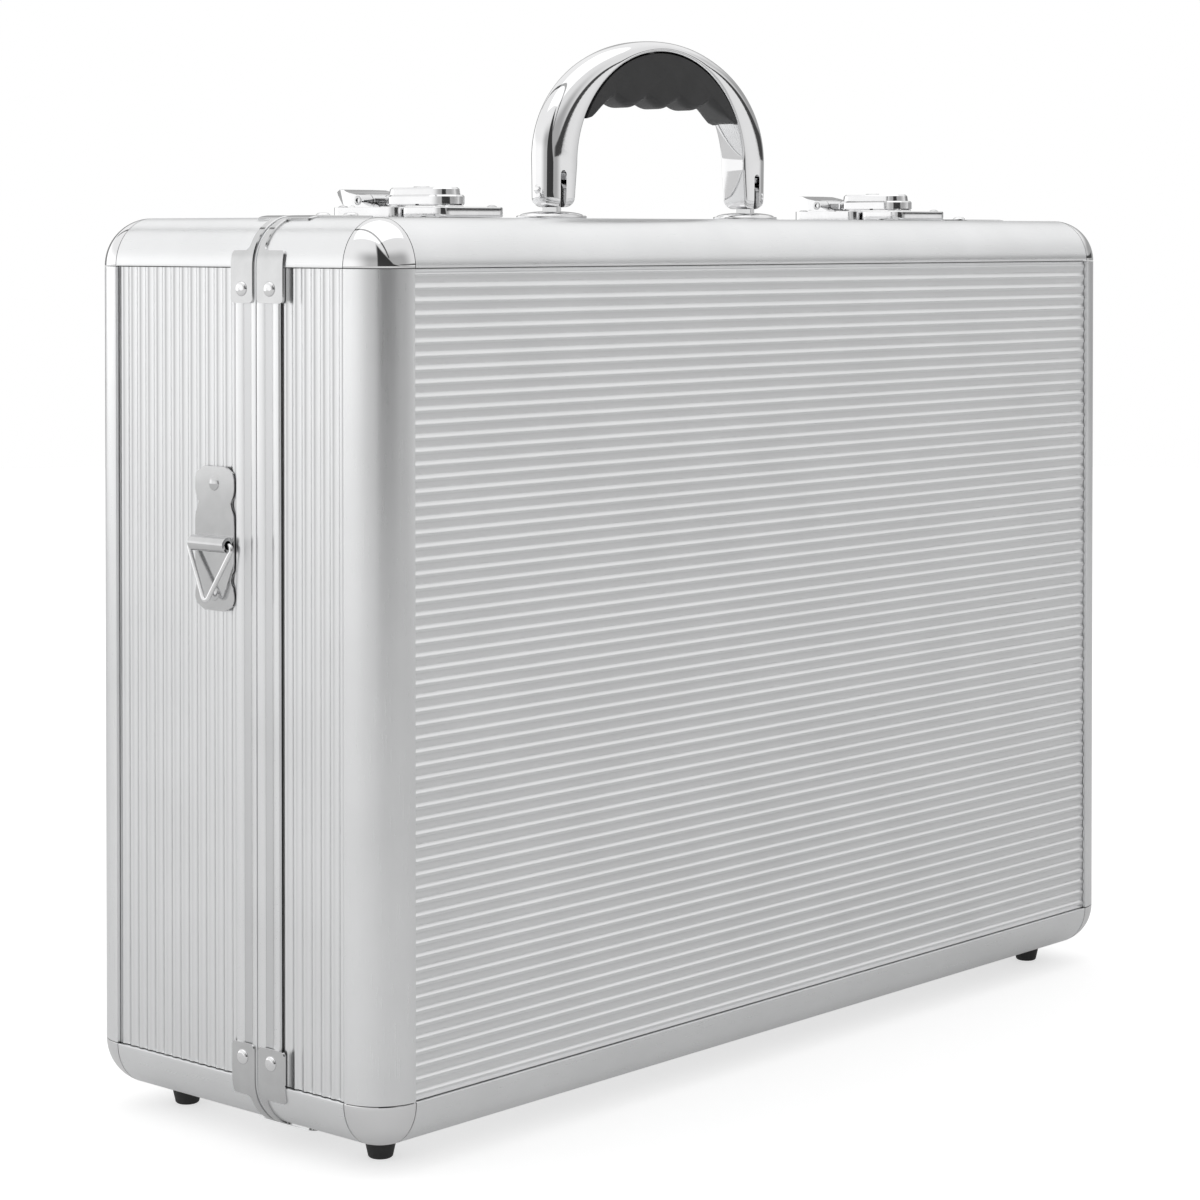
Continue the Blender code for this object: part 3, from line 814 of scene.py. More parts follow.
@dataclass
class Rims:
    """The frames round the opening, with their grooved faces, a darker strip of painted shade in each groove, and
    a near-black strip of painted shadow at the step beside them.
    """

    size: CaseSize
    groove: float = 0.4 * MM
    groove_ramp: float = 0.25 * MM
    soft: float = 0.35 * MM
    # how deep, past the groove's floor, the strip of painted groove shade starts and ends
    groove_shade_depth: Pair = (-0.03 * MM, 0.4 * MM)
    # the near-black strip of painted shadow at the step behind the rim: how deep it reaches and how wide it is
    shadow_strip_depth: Pair = (1.2 * MM, 4.2 * MM)
    shadow_strip_width: float = 0.28 * MM
    corner_steps: int = 18
    recesses: dict[Shell, Pair] = field(default_factory=lambda: {
        Shell.BASE: (3.0 * MM, 7.0 * MM), Shell.LID: (4.3 * MM, 8.3 * MM)})
    tongue_reach: float = 2.0 * MM
    tongue: Sequence[Pair] = ((1.6 * MM, 0.0), (1.7 * MM, 0.3 * MM), (1.9 * MM, 0.0), (2.5 * MM, 0.0),
                              (2.7 * MM, 0.3 * MM), (2.8 * MM, 0.0))
    slot_reach: float = 3.2 * MM
    slot: Pair = (0.8 * MM, 3.6 * MM)

    def face(self, shell: Shell, distance: float) -> float:
        """The Y at a distance from the parting plane into a shell."""
        return self.size.parting + shell.side * distance

    def joint(self, shell: Shell, front: float) -> list[Pair]:
        """The lid's tongue or the base's slot for it, as (depth, y)."""
        if shell is Shell.LID:
            tip = self.size.parting + self.tongue_reach
            (first, _), *middle, (last, _) = self.tongue
            return [(first, front), *((depth, tip - drop) for depth, drop in middle), (last, front)]
        floor = self.size.parting + self.slot_reach
        near, far = self.slot
        return [(near, front), (near, floor), (far, floor), (far, front)]

    def section(self, shell: Shell, plain: bool) -> list[Pair]:
        """Section of a rim, as (depth into the wall, y).

        Args:
            shell: The rim's shell.
            plain: Whether the face is smooth, as it is round the corners.

        Returns:
            The closed section.
        """
        size, side, soft, ramp = self.size, shell.side, self.soft, self.groove_ramp
        groove = 0.0 if plain else self.groove
        back, front = size.rim_back(shell), self.face(shell, size.rim_play)
        near, far = self.recesses[shell]
        roll = 0.02 if plain else 1.0
        shy, lift = 0.1 * MM, 0.12 * MM
        outer = [(soft * roll, back), (shy * roll, back - side * lift), (0, back - side * soft),
                 (0, self.face(shell, far + ramp)), (groove, self.face(shell, far)),
                 (groove, self.face(shell, near)), (0, self.face(shell, near - ramp)),
                 (0, front + side * soft), (shy, front + side * lift), (soft, front)]
        return outer + self.joint(shell, front) + [(size.skin, front), (size.skin, back)]

    def path(self) -> list[tuple[Vector, Vector]]:
        """The outline that both rims follow, in X and Z."""
        size = self.size
        corners = [(-size.half_w, size.bottom), (size.half_w, size.bottom), (size.half_w, size.top),
                   (-size.half_w, size.top)]
        return rounded_path(corners, size.edge, self.corner_steps)

    def band(self, depths: Pair, levels: Pair) -> bmesh.types.BMesh:
        """A flat strip that follows the rims' outline.

        Args:
            depths: How deep into the wall it starts and ends.
            levels: The Y of its two sides.

        Returns:
            The strip's mesh.
        """
        (near, far), (first, last) = depths, levels
        strip = [(near, first), (near, last), (far, last), (far, first)]
        return skin([[(p.x + n.x * d, y, p.y + n.y * d) for d, y in strip] for p, n in self.path()], closed=True)

    def build(self) -> None:
        """Builds both rims, with a darker strip of painted shade in each groove and a near-black strip of painted
        shadow at the step beside each.
        """
        for shell in Shell:
            body = shell.value
            rings = []
            for point, inward in self.path():
                plain = min(abs(inward.x), abs(inward.y)) > 0.01
                rings.append([(point.x + inward.x * depth, y, point.y + inward.y * depth)
                              for depth, y in self.section(shell, plain)])
            Piece(body + "_rim_frame", satin(Grain.NONE), body, (body + "_rim",), crease=40.0).make(
                skin(rings, closed=True))
            # A darker strip over each groove's floor: painted shade.
            depths = tuple(self.groove + depth for depth in self.groove_shade_depth)
            levels = tuple(self.face(shell, distance) for distance in self.recesses[shell])
            Piece(body + "_rim_groove_shade", PAINTED_GROOVE_SHADE, body).make(self.band(depths, levels))
            # A near-black strip at the step behind the rim: painted shadow.
            back = self.size.rim_back(shell)
            Piece(body + "_rim_shadow_strip", PAINTED_SHADOW_STRIP, body).make(
                self.band(self.shadow_strip_depth, (back, back + shell.side * self.shadow_strip_width)))


@dataclass
class PartingClamps:
    """The pressed plates that hold the rims at the corners of the opening, each with a rivet at both ends."""

    size: CaseSize
    thick: float = 0.8 * MM
    stand: float = 0.03 * MM
    soft: float = 0.34 * MM
    side_leg: float = 12.8 * MM
    top_leg: float = 26.5 * MM
    wrap: float = 5.9 * MM
    neck: float = 3.4 * MM
    corner: float = 1.6 * MM
    shoulder: float = 2.2 * MM
    rivet_r: float = 2.75 * MM
    rivet_inset: float = 5.1 * MM
    rivet_sides: int = 28
    closest: float = 0.05 * MM  # least distance between stations
    step_half: float = 0.06 * MM  # half the run in which the width steps at a shoulder
    end_marks: Sequence[float] = (0.0, 0.15, 0.35, 0.6, 0.85, 1.15, 1.6)  # mm from either end
    rivet_profile: Sequence[Pair] = (  # (share of the radius, mm of height)
        (0.0, -0.3), (1.0, -0.3), (1.0, 0.12), (0.96, 0.36), (0.88, 0.62), (0.78, 0.85), (0.68, 0.98),
        (0.55, 1.04), (0.12, 1.12), (0.1, 1.05), (0.0, 1.05))
    legs: dict[Shell, Pair] = field(default_factory=lambda: {
        Shell.BASE: (0.8 * MM, 12.9 * MM), Shell.LID: (0.9 * MM, 15.2 * MM)})

    def stations(self) -> list[float]:
        """Distances along the clamp, from the side leg's end to the top leg's end, close where it curves."""
        length = self.length()
        ends = [m * MM for m in self.end_marks] + [length - m * MM for m in self.end_marks]
        turns = []
        for shoulder in (self.side_leg + self.wrap, length - self.top_leg - self.wrap):
            turns += [shoulder + (k / 8 - 1) * self.shoulder for k in range(17)]
            turns += [shoulder - self.step_half, shoulder + self.step_half]
        plain = [self.side_leg + self.quarter() * k / 20 for k in range(21)]
        plain += [self.side_leg / 2, length - self.top_leg / 2]
        marks = sorted(ends + turns + plain)
        kept = [marks[0]]
        for mark in marks[1:]:
            if mark - kept[-1] > self.closest:
                kept.append(mark)
        return kept

    def quarter(self) -> float:
        """Length of the path round the corner."""
        return self.size.edge * math.pi / 2

    def length(self) -> float:
        """Length of the whole clamp along the rim."""
        return self.side_leg + self.quarter() + self.top_leg

    def point(self, along: float) -> tuple[Vector, Vector]:
        """The rim's outline at a distance along the clamp, at the top right corner.

        Args:
            along: Distance along the clamp.

        Returns:
            (point, outward normal), about the corner's centre.
        """
        edge = self.size.edge
        if along < self.side_leg:
            return Vector((edge, along - self.side_leg)), Vector((1, 0))
        turn = (along - self.side_leg) / edge
        if turn < math.pi / 2:
            out = Vector((math.cos(turn), math.sin(turn)))
            return out * edge, out
        return Vector((-(along - self.side_leg - self.quarter()), edge)), Vector((0, 1))

    def width(self, along: float, near: float, far: float) -> Pair:
        """The clamp's two edges, as distances from the parting plane.

        Args:
            along: Distance along the clamp.
            near: The legs' edge beside the parting plane.
            far: The legs' other edge.

        Returns:
            (near edge, far edge) at that distance.
        """
        length = self.length()
        inner, outer = near, near + self.neck
        first, last = self.side_leg + self.wrap, length - self.top_leg - self.wrap
        beyond = min(along - first, last - along)
        if beyond <= 0:
            outer = far - max(0.0, beyond + self.corner) ** 2 / (2 * self.corner)
        elif beyond < self.shoulder:
            outer += self.shoulder - math.sqrt(self.shoulder ** 2 - (self.shoulder - beyond) ** 2)
        from_end = min(along, length - along)
        if from_end < self.corner:
            cut = self.corner - math.sqrt(self.corner ** 2 - (self.corner - from_end) ** 2)
            inner, outer = inner + cut, outer - cut
        return inner, outer

    def clamp(self, shell: Shell, hand: Hand, level: Level) -> bmesh.types.BMesh:
        """The plate of one shell at one corner."""
        size, soft = self.size, self.soft
        cx, cz = size.corner_x(hand), size.corner_z(level)
        under, over = self.stand, self.stand + self.thick
        rings = []
        for along in self.stations():
            point, out = self.point(along)
            inner, outer = self.width(along, *self.legs[shell])
            section = ((under, inner), (over - soft, inner), (over, inner + soft), (over, outer - soft),
                       (over - soft, outer), (under, outer))
            ring = []
            for lift, reach in section:
                flat = point + out * lift
                y = size.parting + shell.side * reach
                ring.append((cx + hand.sign * flat.x, y, cz + level.sign * flat.y))
            rings.append(ring)
        return skin(rings)

    def rivets(self, shell: Shell, hand: Hand, level: Level) -> bmesh.types.BMesh:
        """The two domed rivet heads of a clamp."""
        size, across, up = self.size, hand.sign, level.sign
        y = size.parting + shell.side * sum(self.legs[shell]) / 2
        base = self.stand + self.thick
        dome = [(share * self.rivet_r, height * MM) for share, height in self.rivet_profile]
        side_z = size.corner_z(level) - up * (self.side_leg - self.rivet_inset)
        top_x = across * (size.half_w - size.edge - self.top_leg + self.rivet_inset)
        top_z = size.top + base if level is Level.TOP else size.bottom - base
        side_x = across * (size.half_w + base)
        return merged(turned([(r, across * h) for r, h in dome], "x", (side_x, y, side_z), self.rivet_sides),
                      turned([(r, up * h) for r, h in dome], "z", (top_x, y, top_z), self.rivet_sides))

    def build(self) -> None:
        """Builds the eight clamps and their rivets."""
        for shell, hand, level in product(Shell, Hand, Level):
            name = f"{shell.value}_clamp_{level.value}_{hand.value}"
            Piece(name, NICKEL, shell.value, crease=30.0).make(self.clamp(shell, hand, level))
            Piece(name + "_rivets", LATCH_STEEL, shell.value, crease=50.0).make(self.rivets(shell, hand, level))


@dataclass
class Lining:
    """The cloth lining of each shell, with a bound edge at the opening and a padded floor."""

    size: CaseSize
    play: float = 0.15 * MM
    thick: float = 1.0 * MM
    hem: float = 1.6 * MM
    below_rim: float = 5.5 * MM
    tightest: float = 2.0 * MM
    pad_round: float = 6 * MM
    pad_sunk: float = 0.3 * MM
    pad_thick: float = 1.2 * MM

    def walls(self, shell: Shell) -> None:
        """Builds the cloth on a shell's walls and back, and its bound edge.

        Args:
            shell: The lined shell.
        """
        size, side = self.size, shell.side
        radius = size.edge - size.skin - self.play
        start = size.parting + side * self.below_rim
        floor = side * (size.half_d - size.skin - self.play)
        turn_y = floor - side * radius
        outside = [(start, 0.0)] + [(turn_y + side * b, radius * (1 - a)) for a, b in arc(1.0, radius, 10)]
        face = floor - side * self.thick
        nearer = min if side > 0 else max
        inside = [(nearer(y, face), inset + self.thick) for y, inset in reversed(outside)]
        rings = [self.ring(y, inset) for y, inset in outside + inside]
        Piece(shell.value + "_lining", LINING, shell.value, crease=50.0).make(skin(rings, closed=True))
        path = [Vector(p) for p in self.ring(start, self.thick / 2)]
        Piece(shell.value + "_lining_hem", LINING, shell.value).make(swept(path, self.hem / 2, 10, closed=True))

    def pad(self, shell: Shell) -> None:
        """Builds the pad on a shell's back.

        Args:
            shell: The lined shell.
        """
        size, side = self.size, shell.side
        floor = side * (size.half_d - size.skin - self.play - self.thick)
        half_w = size.half_w - size.edge
        low, high = size.bottom + size.edge, size.top - size.edge
        middle = Vector((0, (low + high) / 2))
        rise = side * -self.pad_thick
        levels = ((floor + side * self.pad_sunk, 0.0), (floor + rise * 0.6, 0.0), (floor + rise, self.pad_thick))
        rings = []
        for y, inset in levels:
            ring = []
            for a, b in rounded_box((-half_w, low), (half_w, high), self.pad_round, 8):
                away = Vector((a, b)) - middle
                ring.append((a - math.copysign(inset, away.x), y, b - math.copysign(inset, away.y)))
            rings.append(ring)
        Piece(shell.value + "_lining_floor", LINING, shell.value, crease=50.0).make(skin(rings))

    def ring(self, y: float, inset: float) -> list[Triple]:
        """A rounded rectangle inside the walls, at one depth."""
        size = self.size
        wall = size.skin + self.play + inset
        outline = rounded_box((-size.half_w + wall, size.bottom + wall), (size.half_w - wall, size.top - wall),
                              max(self.tightest, size.edge - wall), 8)
        return [(x, y, z) for x, z in outline]

    def build(self) -> None:
        """Lines both shells."""
        for shell in Shell:
            self.walls(shell)
        for shell in Shell:
            self.pad(shell)


@dataclass
class Feet:
    """The four tapered rubber feet."""

    top_r: float = 6.2 * MM
    low_r: float = 4.6 * MM
    soft: float = 1.1 * MM
    hollow: float = 0.35 * MM
    sole: Pair = (2.4 * MM, 2.0 * MM)  # where the hollow's slope starts and ends, in from the foot's edge
    collar: Sequence[Pair] = ((0.1 * MM, 0.9 * MM), (0.0, 0.5 * MM))  # (inset, drop below the top)

    def profile(self, height: float) -> list[Pair]:
        """Half section of a foot, as (radius, height)."""
        low, soft = self.low_r, self.soft
        far, near = self.sole
        sole = [(0.0, self.hollow), (low - far, self.hollow), (low - near, 0.0)]
        toe = [(low - soft + b, soft - a) for a, b in arc(soft, soft, 5)]
        collar = [(self.top_r - inset, height - drop) for inset, drop in self.collar]
        return sole + toe + collar + [(self.top_r, height), (0.0, height)]

    def build(self) -> None:
        """Builds each foot in place of its CAD node."""
        for shell, hand in product(Shell, Hand):
            node = f"foot_{shell.value}_{hand.value}"
            low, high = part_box(node)
            centre = ((low.x + high.x) / 2, (low.y + high.y) / 2, low.z)
            Piece(node + "_rubber", RUBBER, shell.value, (node,), crease=45.0).make(
                turned(self.profile(high.z - low.z), "z", centre, 40))


@dataclass
class Hinge:
    """The full-length hinge under the parting line, with its rivets."""

    size: CaseSize
    rivets: int = 8
    rivet_inset: float = 3.4 * MM
    rivet_drop: float = 1.5 * MM
    rivet_profile: Sequence[Pair] = ((0.0, 0.1 * MM), (1.7 * MM, 0.1 * MM), (1.7 * MM, -0.1 * MM),
                                     (1.2 * MM, -0.5 * MM), (0.5 * MM, -0.68 * MM), (0.0, -0.7 * MM))

    def build(self) -> None:
        """Softens both leaves and adds the rivets that hold them."""
        z = self.size.bottom - self.rivet_drop
        for shell in Shell:
            node = f"hinge_leaf_{shell.value}"
            Piece(node + "_plate", NICKEL, shell.value, (node,), soften=0.12 * MM).make(node_mesh(node))
            low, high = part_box(node)
            y = (high.y if shell is Shell.BASE else low.y) - shell.side * self.rivet_inset
            spots = [low.x + (high.x - low.x) * (k + 0.5) / self.rivets for k in range(self.rivets)]
            heads = [turned(self.rivet_profile, "z", (x, y, z), 20) for x in spots]
            Piece(node + "_rivets", LATCH_STEEL, shell.value, crease=50.0).make(merged(*heads))


@dataclass
class Handle:
    """The arched handle: a chrome bail with a dark grip set into it, on two domed mounts."""

    size: CaseSize
    y: float = -4.5 * MM
    leg_x: float = 61.2 * MM
    leg_inward: float = 7.4 * MM
    leg_outward: float = 8.6 * MM
    leg_half: float = 6.4 * MM
    leg_end: float = 4.8 * MM
    leg_round: float = 4.0 * MM
    foot_steps: int = 7
    shank_rings: int = 9
    outer: Triple = (69.9 * MM, 48.8 * MM, 25.0 * MM)  # half width, rise, springing above the case
    inner: Triple = (52.6 * MM, 46.8 * MM, 22.4 * MM)
    arch_steps: int = 72
    foot_swell: float = 0.2 * MM
    crown_swell: float = 1.2 * MM
    inner_round: float = 1.1 * MM
    crown: float = 7.5 * MM
    slot_half: float = 1.7 * MM
    slot_rise: float = 7.6 * MM
    slot_reach: float = 9 * MM
    slot_overrun: float = 2 * MM
    pin_rise: float = 12.0 * MM
    pin_sides: int = 28
    pin_profile: Sequence[Pair] = ((0.0, 0.0), (1.9 * MM, 0.0), (1.9 * MM, 0.35 * MM), (1.6 * MM, 0.7 * MM),
                                   (0.9 * MM, 0.9 * MM), (0.0, 0.95 * MM))
    pin_sunk: float = 0.75 * MM
    pin_outward: float = 0.35 * MM
    pin_inward: float = -0.4 * MM
    ridge: float = 20.0 * MM
    ridge_rise: float = 1.8 * MM
    grip_end: float = 44.8 * MM
    grip_level: float = 47.6 * MM
    grip_drop: float = 8.1 * MM
    grip_tip: float = 41.0 * MM
    grip_half: float = 6.9 * MM
    grip_soft: float = 4.0 * MM
    grip_play: float = 0.25 * MM
    grip_fade: float = 33 * MM
    underside_lift: float = 0.75  # of the rounding, along the fingers
    crown_lift: float = 0.7 * MM
    lower_steps: int = 96
    upper_steps: int = 40
    mount_half: Pair = (17 * MM, 11 * MM)
    mount_stand: float = 0.3 * MM
    mount_rim: float = 1.1 * MM
    mount_dome: float = 2.9 * MM
    mount_sides: int = 56
    lug_half: float = 4 * MM
    lug_foot: float = 1.5 * MM
    lug_half_thick: float = 1.3 * MM

    def arch(self, which: Triple, angle: float, inset: float = 0.0) -> Vector:
        """A point of an arch's ellipse, in X and Z."""
        half, rise, level = which
        z = self.size.top + level + (rise - inset) * math.sin(angle)
        return Vector(((half - inset) * math.cos(angle), z))

    def section(self, inner: Vector, outer: Vector, half_y: float) -> list[Triple]:
        """D-shaped section of the bail: full and round outside, flat-fronted with a small round inside.

        Args:
            inner: The section's inner point, in X and Z.
            outer: Its outer point.
            half_y: Half its depth in Y.

        Returns:
            The section's ring.
        """
        along = (outer - inner).normalized()
        length = (outer - inner).length
        small = min(self.inner_round, length * 0.25)
        crown = min(self.crown, (length - small) * 0.9)
        half = [(small - b, half_y - small + a) for a, b in arc(small, small, 3)[::-1]]
        half += [(length - crown + b, half_y * (0.1 + 0.9 * a ** 0.9)) for a, b in arc(1.0, crown, 9)]
        ring = half + [(a, -y) for a, y in reversed(half)]
        return [(inner.x + along.x * a, self.y + y, inner.y + along.y * a) for a, y in ring]

    def leg(self) -> list[list[Triple]]:
        """Rings of one leg, from its rounded end up to the arch."""
        leg_in, leg_out = self.leg_x - self.leg_inward, self.leg_x + self.leg_outward
        rings = []
        for a, b in arc(1.0, 1.0, self.foot_steps):
            cut = self.leg_round * (1 - b)
            z = self.size.top + self.leg_end + self.leg_round * (1 - a)
            ends = Vector((leg_in + cut, z)), Vector((leg_out - cut, z))
            rings.append(self.section(*ends, self.leg_half - 0.5 * cut))
        spring_in, spring_out = self.arch(self.inner, 0.0), self.arch(self.outer, 0.0)
        last_in, last_out = Vector((leg_in, z)), Vector((leg_out, z))
        for k in range(1, self.shank_rings):
            share = k / self.shank_rings
            rings.append(self.section(last_in.lerp(spring_in, share), last_out.lerp(spring_out, share),
                                      self.leg_half + self.foot_swell * share))
        return rings

    def bail(self) -> bmesh.types.BMesh:
        """The arch, slotted for its lugs at both feet."""
        top, half = self.size.top, self.slot_half
        leg = self.leg()
        rings = list(leg)
        for k in range(self.arch_steps + 1):
            angle = math.pi * k / self.arch_steps
            half_y = self.leg_half + self.foot_swell + self.crown_swell * math.sin(angle) ** 2
            rings.append(self.section(self.arch(self.inner, angle), self.arch(self.outer, angle), half_y))
        rings += [[(-x, y, z) for x, y, z in ring] for ring in reversed(leg)]
        mesh = skin(rings)
        low, high = top + self.leg_end - self.slot_overrun, top + self.pin_rise + self.slot_rise
        for x in (-self.leg_x, self.leg_x):
            slot = [(x - half, low), (x + half, low)]
            slot += [(x + a, high - half + b) for a, b in arc(half, half, 8, 0.0, math.pi)]
            mesh = carved(mesh, prism(slot, "y", self.y - self.slot_reach, self.y + self.slot_reach))
        return mesh

    def underside(self, x: float) -> float:
        """Height of the grip's underside at x: three finger ridges, then a slope down to each end."""
        level = self.size.top + self.grip_level + self.ridge_rise
        ridges_end = 1.5 * self.ridge
        if abs(x) < ridges_end:
            wave = max(0.0, 0.5 + 0.5 * math.cos(math.tau * x / self.ridge))
            return level - 2 * self.ridge_rise * wave ** 0.6
        return level - self.grip_drop * (abs(x) - ridges_end) / (self.grip_end - ridges_end)

    def fade(self, x: float) -> float:
        """How much of the underside's rounding is left at x; none at the grip's ends."""
        return 1 - smooth_step((abs(x) - self.grip_fade) / (self.grip_end - self.grip_fade))

    def grip(self) -> bmesh.types.BMesh:
        """The half-moon grip that fills the top of the arch, rounded where fingers close on it."""
        lower = [-self.grip_end + 2 * self.grip_end * k / self.lower_steps for k in range(self.lower_steps + 1)]
        _, rise, level = self.inner
        start = math.asin((self.grip_tip - level) / rise)
        upper = [self.arch(self.inner, start + (math.pi - 2 * start) * k / self.upper_steps, self.grip_play)
                 for k in range(self.upper_steps + 1)]
        soft = self.grip_soft
        offsets = [(-self.grip_half + soft * (1 - a), soft * (1 - b)) for a, b in arc(1.0, 1.0, 7)]
        offsets += [(-y, lift) for y, lift in reversed(offsets)]
        rings = []
        for y, lift in offsets:
            pull = min(lift, self.crown_lift) / 2
            rings.append([(x, self.y + y, self.underside(x) + self.underside_lift * lift * self.fade(x))
                          for x in lower]
                         + [(p.x * (1 - pull / self.grip_end), self.y + y, p.y - pull) for p in upper])
        return skin(rings)

    def dome(self, x: float) -> bmesh.types.BMesh:
        """The oval dome of a mount, with a rolled rim."""
        half_x, half_y = self.mount_half
        rim, rise = self.mount_rim, self.mount_dome - self.mount_rim
        profile = [(0.0, 0.0), (0.985, 0.0), (1.0, 0.25 * MM), (1.0, rim - 0.3 * MM), (0.985, rim),
                   (0.93, rim + 0.12 * MM)]
        profile += [(a, rim + b + 0.1 * MM) for a, b in arc(0.9, rise, 8)]
        z = self.size.top + self.mount_stand
        turns = [math.tau * k / self.mount_sides for k in range(self.mount_sides)]
        return skin([[(x + half_x * r * math.cos(turn), self.y + half_y * r * math.sin(turn), z + h)
                      for r, h in profile] for turn in turns], closed=True)

    def mount(self, hand: Hand) -> None:
        """One domed oval mount with its lug and pin heads.

        Args:
            hand: The mount's side.
        """
        node = f"handle_mount_{hand.value}"
        sign, half, foot = hand.sign, self.lug_half, self.size.top + self.lug_foot
        x, pin_z = sign * self.leg_x, self.size.top + self.pin_rise
        Piece(node + "_dome", CHROME, "base", (node,), crease=50.0).make(self.dome(x))
        lug = [(self.y + half, foot)]
        lug += [(self.y + a, pin_z + b) for a, b in arc(half, half, 20, 0.0, math.pi)] + [(self.y - half, foot)]
        Piece(node + "_lug", NICKEL, "base", soften=0.2 * MM).make(
            prism(lug, "x", x - self.lug_half_thick, x + self.lug_half_thick))
        heads = []
        for way, reach in ((sign, self.leg_outward + self.pin_outward),
                           (-sign, self.leg_inward + self.pin_inward)):
            head = [(r, way * (h - self.pin_sunk)) for r, h in self.pin_profile]
            heads.append(turned(head, "x", (x + way * reach, self.y, pin_z), self.pin_sides))
        Piece(node + "_pin_heads", LATCH_STEEL, "handle", crease=45.0).make(merged(*heads))

    def build(self) -> None:
        """Builds the bail, grip and mounts."""
        Piece("handle_bail_chrome", CHROME, "handle", ("handle_bail",), crease=42.0).make(self.bail())
        Piece("handle_grip_moulding", GRIP, "handle", ("handle_grip",), crease=46.0).make(self.grip())
        for hand in Hand:
            self.mount(hand)


@dataclass
class DrawLatch:
    """One latch: its plates, lever, hook plate, plug and the small pins and rivets that hold them."""

    size: CaseSize
    hand: Hand
    x: float = 142 * MM
    plate_rivets: Sequence[Pair] = ((14.6 * MM, -11.5 * MM), (14.6 * MM, 15.6 * MM))  # out from the middle, y
    strike_rivets: Sequence[Pair] = ((13.8 * MM, -35.6 * MM),)
    rivet_r: float = 1.9 * MM
    rivet_rise: float = 0.8 * MM
    rivet_sunk: float = 0.25 * MM
    barrel_y: float = 9.6 * MM
    barrel_rise: float = 6.9 * MM
    barrel_half: float = 12.75 * MM
    barrel_profile: Sequence[Pair] = ((0.95 * MM, -0.1 * MM), (0.95 * MM, 0.25 * MM), (1.5 * MM, 0.3 * MM),
                                      (1.85 * MM, 0.1 * MM), (1.85 * MM, -0.1 * MM))
    turned_sides: int = 24

    def pressings(self) -> None:
        """Gives the CAD's latch pieces soft edges and their finish."""
        hand = self.hand.value
        for part, finish, body, soften in (
                ("latch_plate", LATCH_STEEL, "base", 0.5),
                ("latch_strike", LATCH_STEEL, "lid", 0.5),
                ("latch_lever", LATCH_STEEL, f"lever_{hand}", 0.25),
                ("latch_hasp", LATCH_STEEL, f"hasp_{hand}", 0.2),
                ("lock_plug", NICKEL, f"plug_{hand}", 0.12)):
            pressed(f"{part}_{hand}", finish, body, soften * MM)

    def rivets(self, spots: Sequence[Pair], z: float) -> bmesh.types.BMesh:
        """Domed rivet heads on both sides of the latch's middle.

        Args:
            spots: (distance from the middle, y) of each pair.
            z: Height of the plate that they hold.

        Returns:
            The heads' mesh.
        """
        middle = self.hand.sign * self.x
        dome = [(0.0, -self.rivet_sunk), (self.rivet_r, -self.rivet_sunk)] + arc(self.rivet_r, self.rivet_rise, 6)
        return merged(*[turned(dome, "z", (middle + sign * out, y, z), self.turned_sides)
                        for sign in (-1, 1) for out, y in spots])

    def barrel_ends(self) -> bmesh.types.BMesh:
        """The rolled ends of the lever's barrel."""
        ends = []
        for sign in (-1, 1):
            centre = (self.hand.sign * self.x + sign * self.barrel_half, self.barrel_y,
                      self.size.top + self.barrel_rise)
            ends.append(turned([(r, sign * h) for r, h in self.barrel_profile], "x", centre, self.turned_sides))
        return merged(*ends)

    def build(self) -> None:
        """Builds the latch's pieces."""
        hand = self.hand.value
        self.pressings()
        plate_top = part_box(f"latch_plate_{hand}")[1].z
        for node, body, spots in (("latch_plate", "base", self.plate_rivets),
                                  ("latch_strike", "lid", self.strike_rivets)):
            Piece(f"{node}_{hand}_rivets", NICKEL, body, crease=50.0).make(self.rivets(spots, plate_top))
        Piece(f"latch_lever_{hand}_barrel_ends", NICKEL, f"lever_{hand}", crease=50.0).make(self.barrel_ends())


@dataclass
class StrapLoop:
    """The riveted plate on a narrow end, and the triangular wire ring in its rolled knuckle."""

    size: CaseSize
    hand: Hand
    wire: float = 0.9025 * MM
    half: float = 12.6 * MM
    drop: float = 22 * MM
    bend: float = 1.7 * MM
    lean: float = math.radians(7)
    knuckle_z: float = 217.4 * MM
    knuckle_out: float = 2.3 * MM

    def build(self) -> None:
        """Builds the plate and the ring."""
        hand, sign = self.hand.value, self.hand.sign
        pressed(f"strap_plate_{hand}", NICKEL, "base", 0.35 * MM)
        node = f"strap_ring_{hand}"
        low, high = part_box(node)
        x, y = sign * (self.size.half_w + self.knuckle_out), (low.y + high.y) / 2
        corners = [(-self.half, 0), (0, -self.drop), (self.half, 0)]
        path = [Vector((x - sign * point.y * math.sin(self.lean), y + point.x,
                        self.knuckle_z + point.y * math.cos(self.lean)))
                for point, _ in rounded_path(corners, self.bend, 7)]
        Piece(node + "_wire", LATCH_STEEL, f"ring_{hand}", (node,), crease=60.0).make(
            swept(path, self.wire, 14, closed=True))


# ------------------------------------------------------------------ the studio


@dataclass(frozen=True)
class Rise:
    """A smooth rise from 0 to 1 across the sky, from one distance along a direction to another."""

    direction: Triple
    low: float
    high: float
    both_ways: bool = False

    def socket(self, nodes: Nodes, axes: Sequence[Socket]) -> Socket:
        """Adds the nodes that work it out.

        Args:
            nodes: The sky's nodes.
            axes: X, Y and Z of the way that is looked.

        Returns:
            The socket of the rise.
        """
        terms = [nodes.maths("MULTIPLY", axis, weight) for axis, weight in zip(axes, self.direction) if weight]
        distance = nodes.maths("ADD", *terms)
        if self.both_ways:
            distance = nodes.maths("ABSOLUTE", distance, 0.0)
        return nodes.ramp(distance, (self.low, self.high))


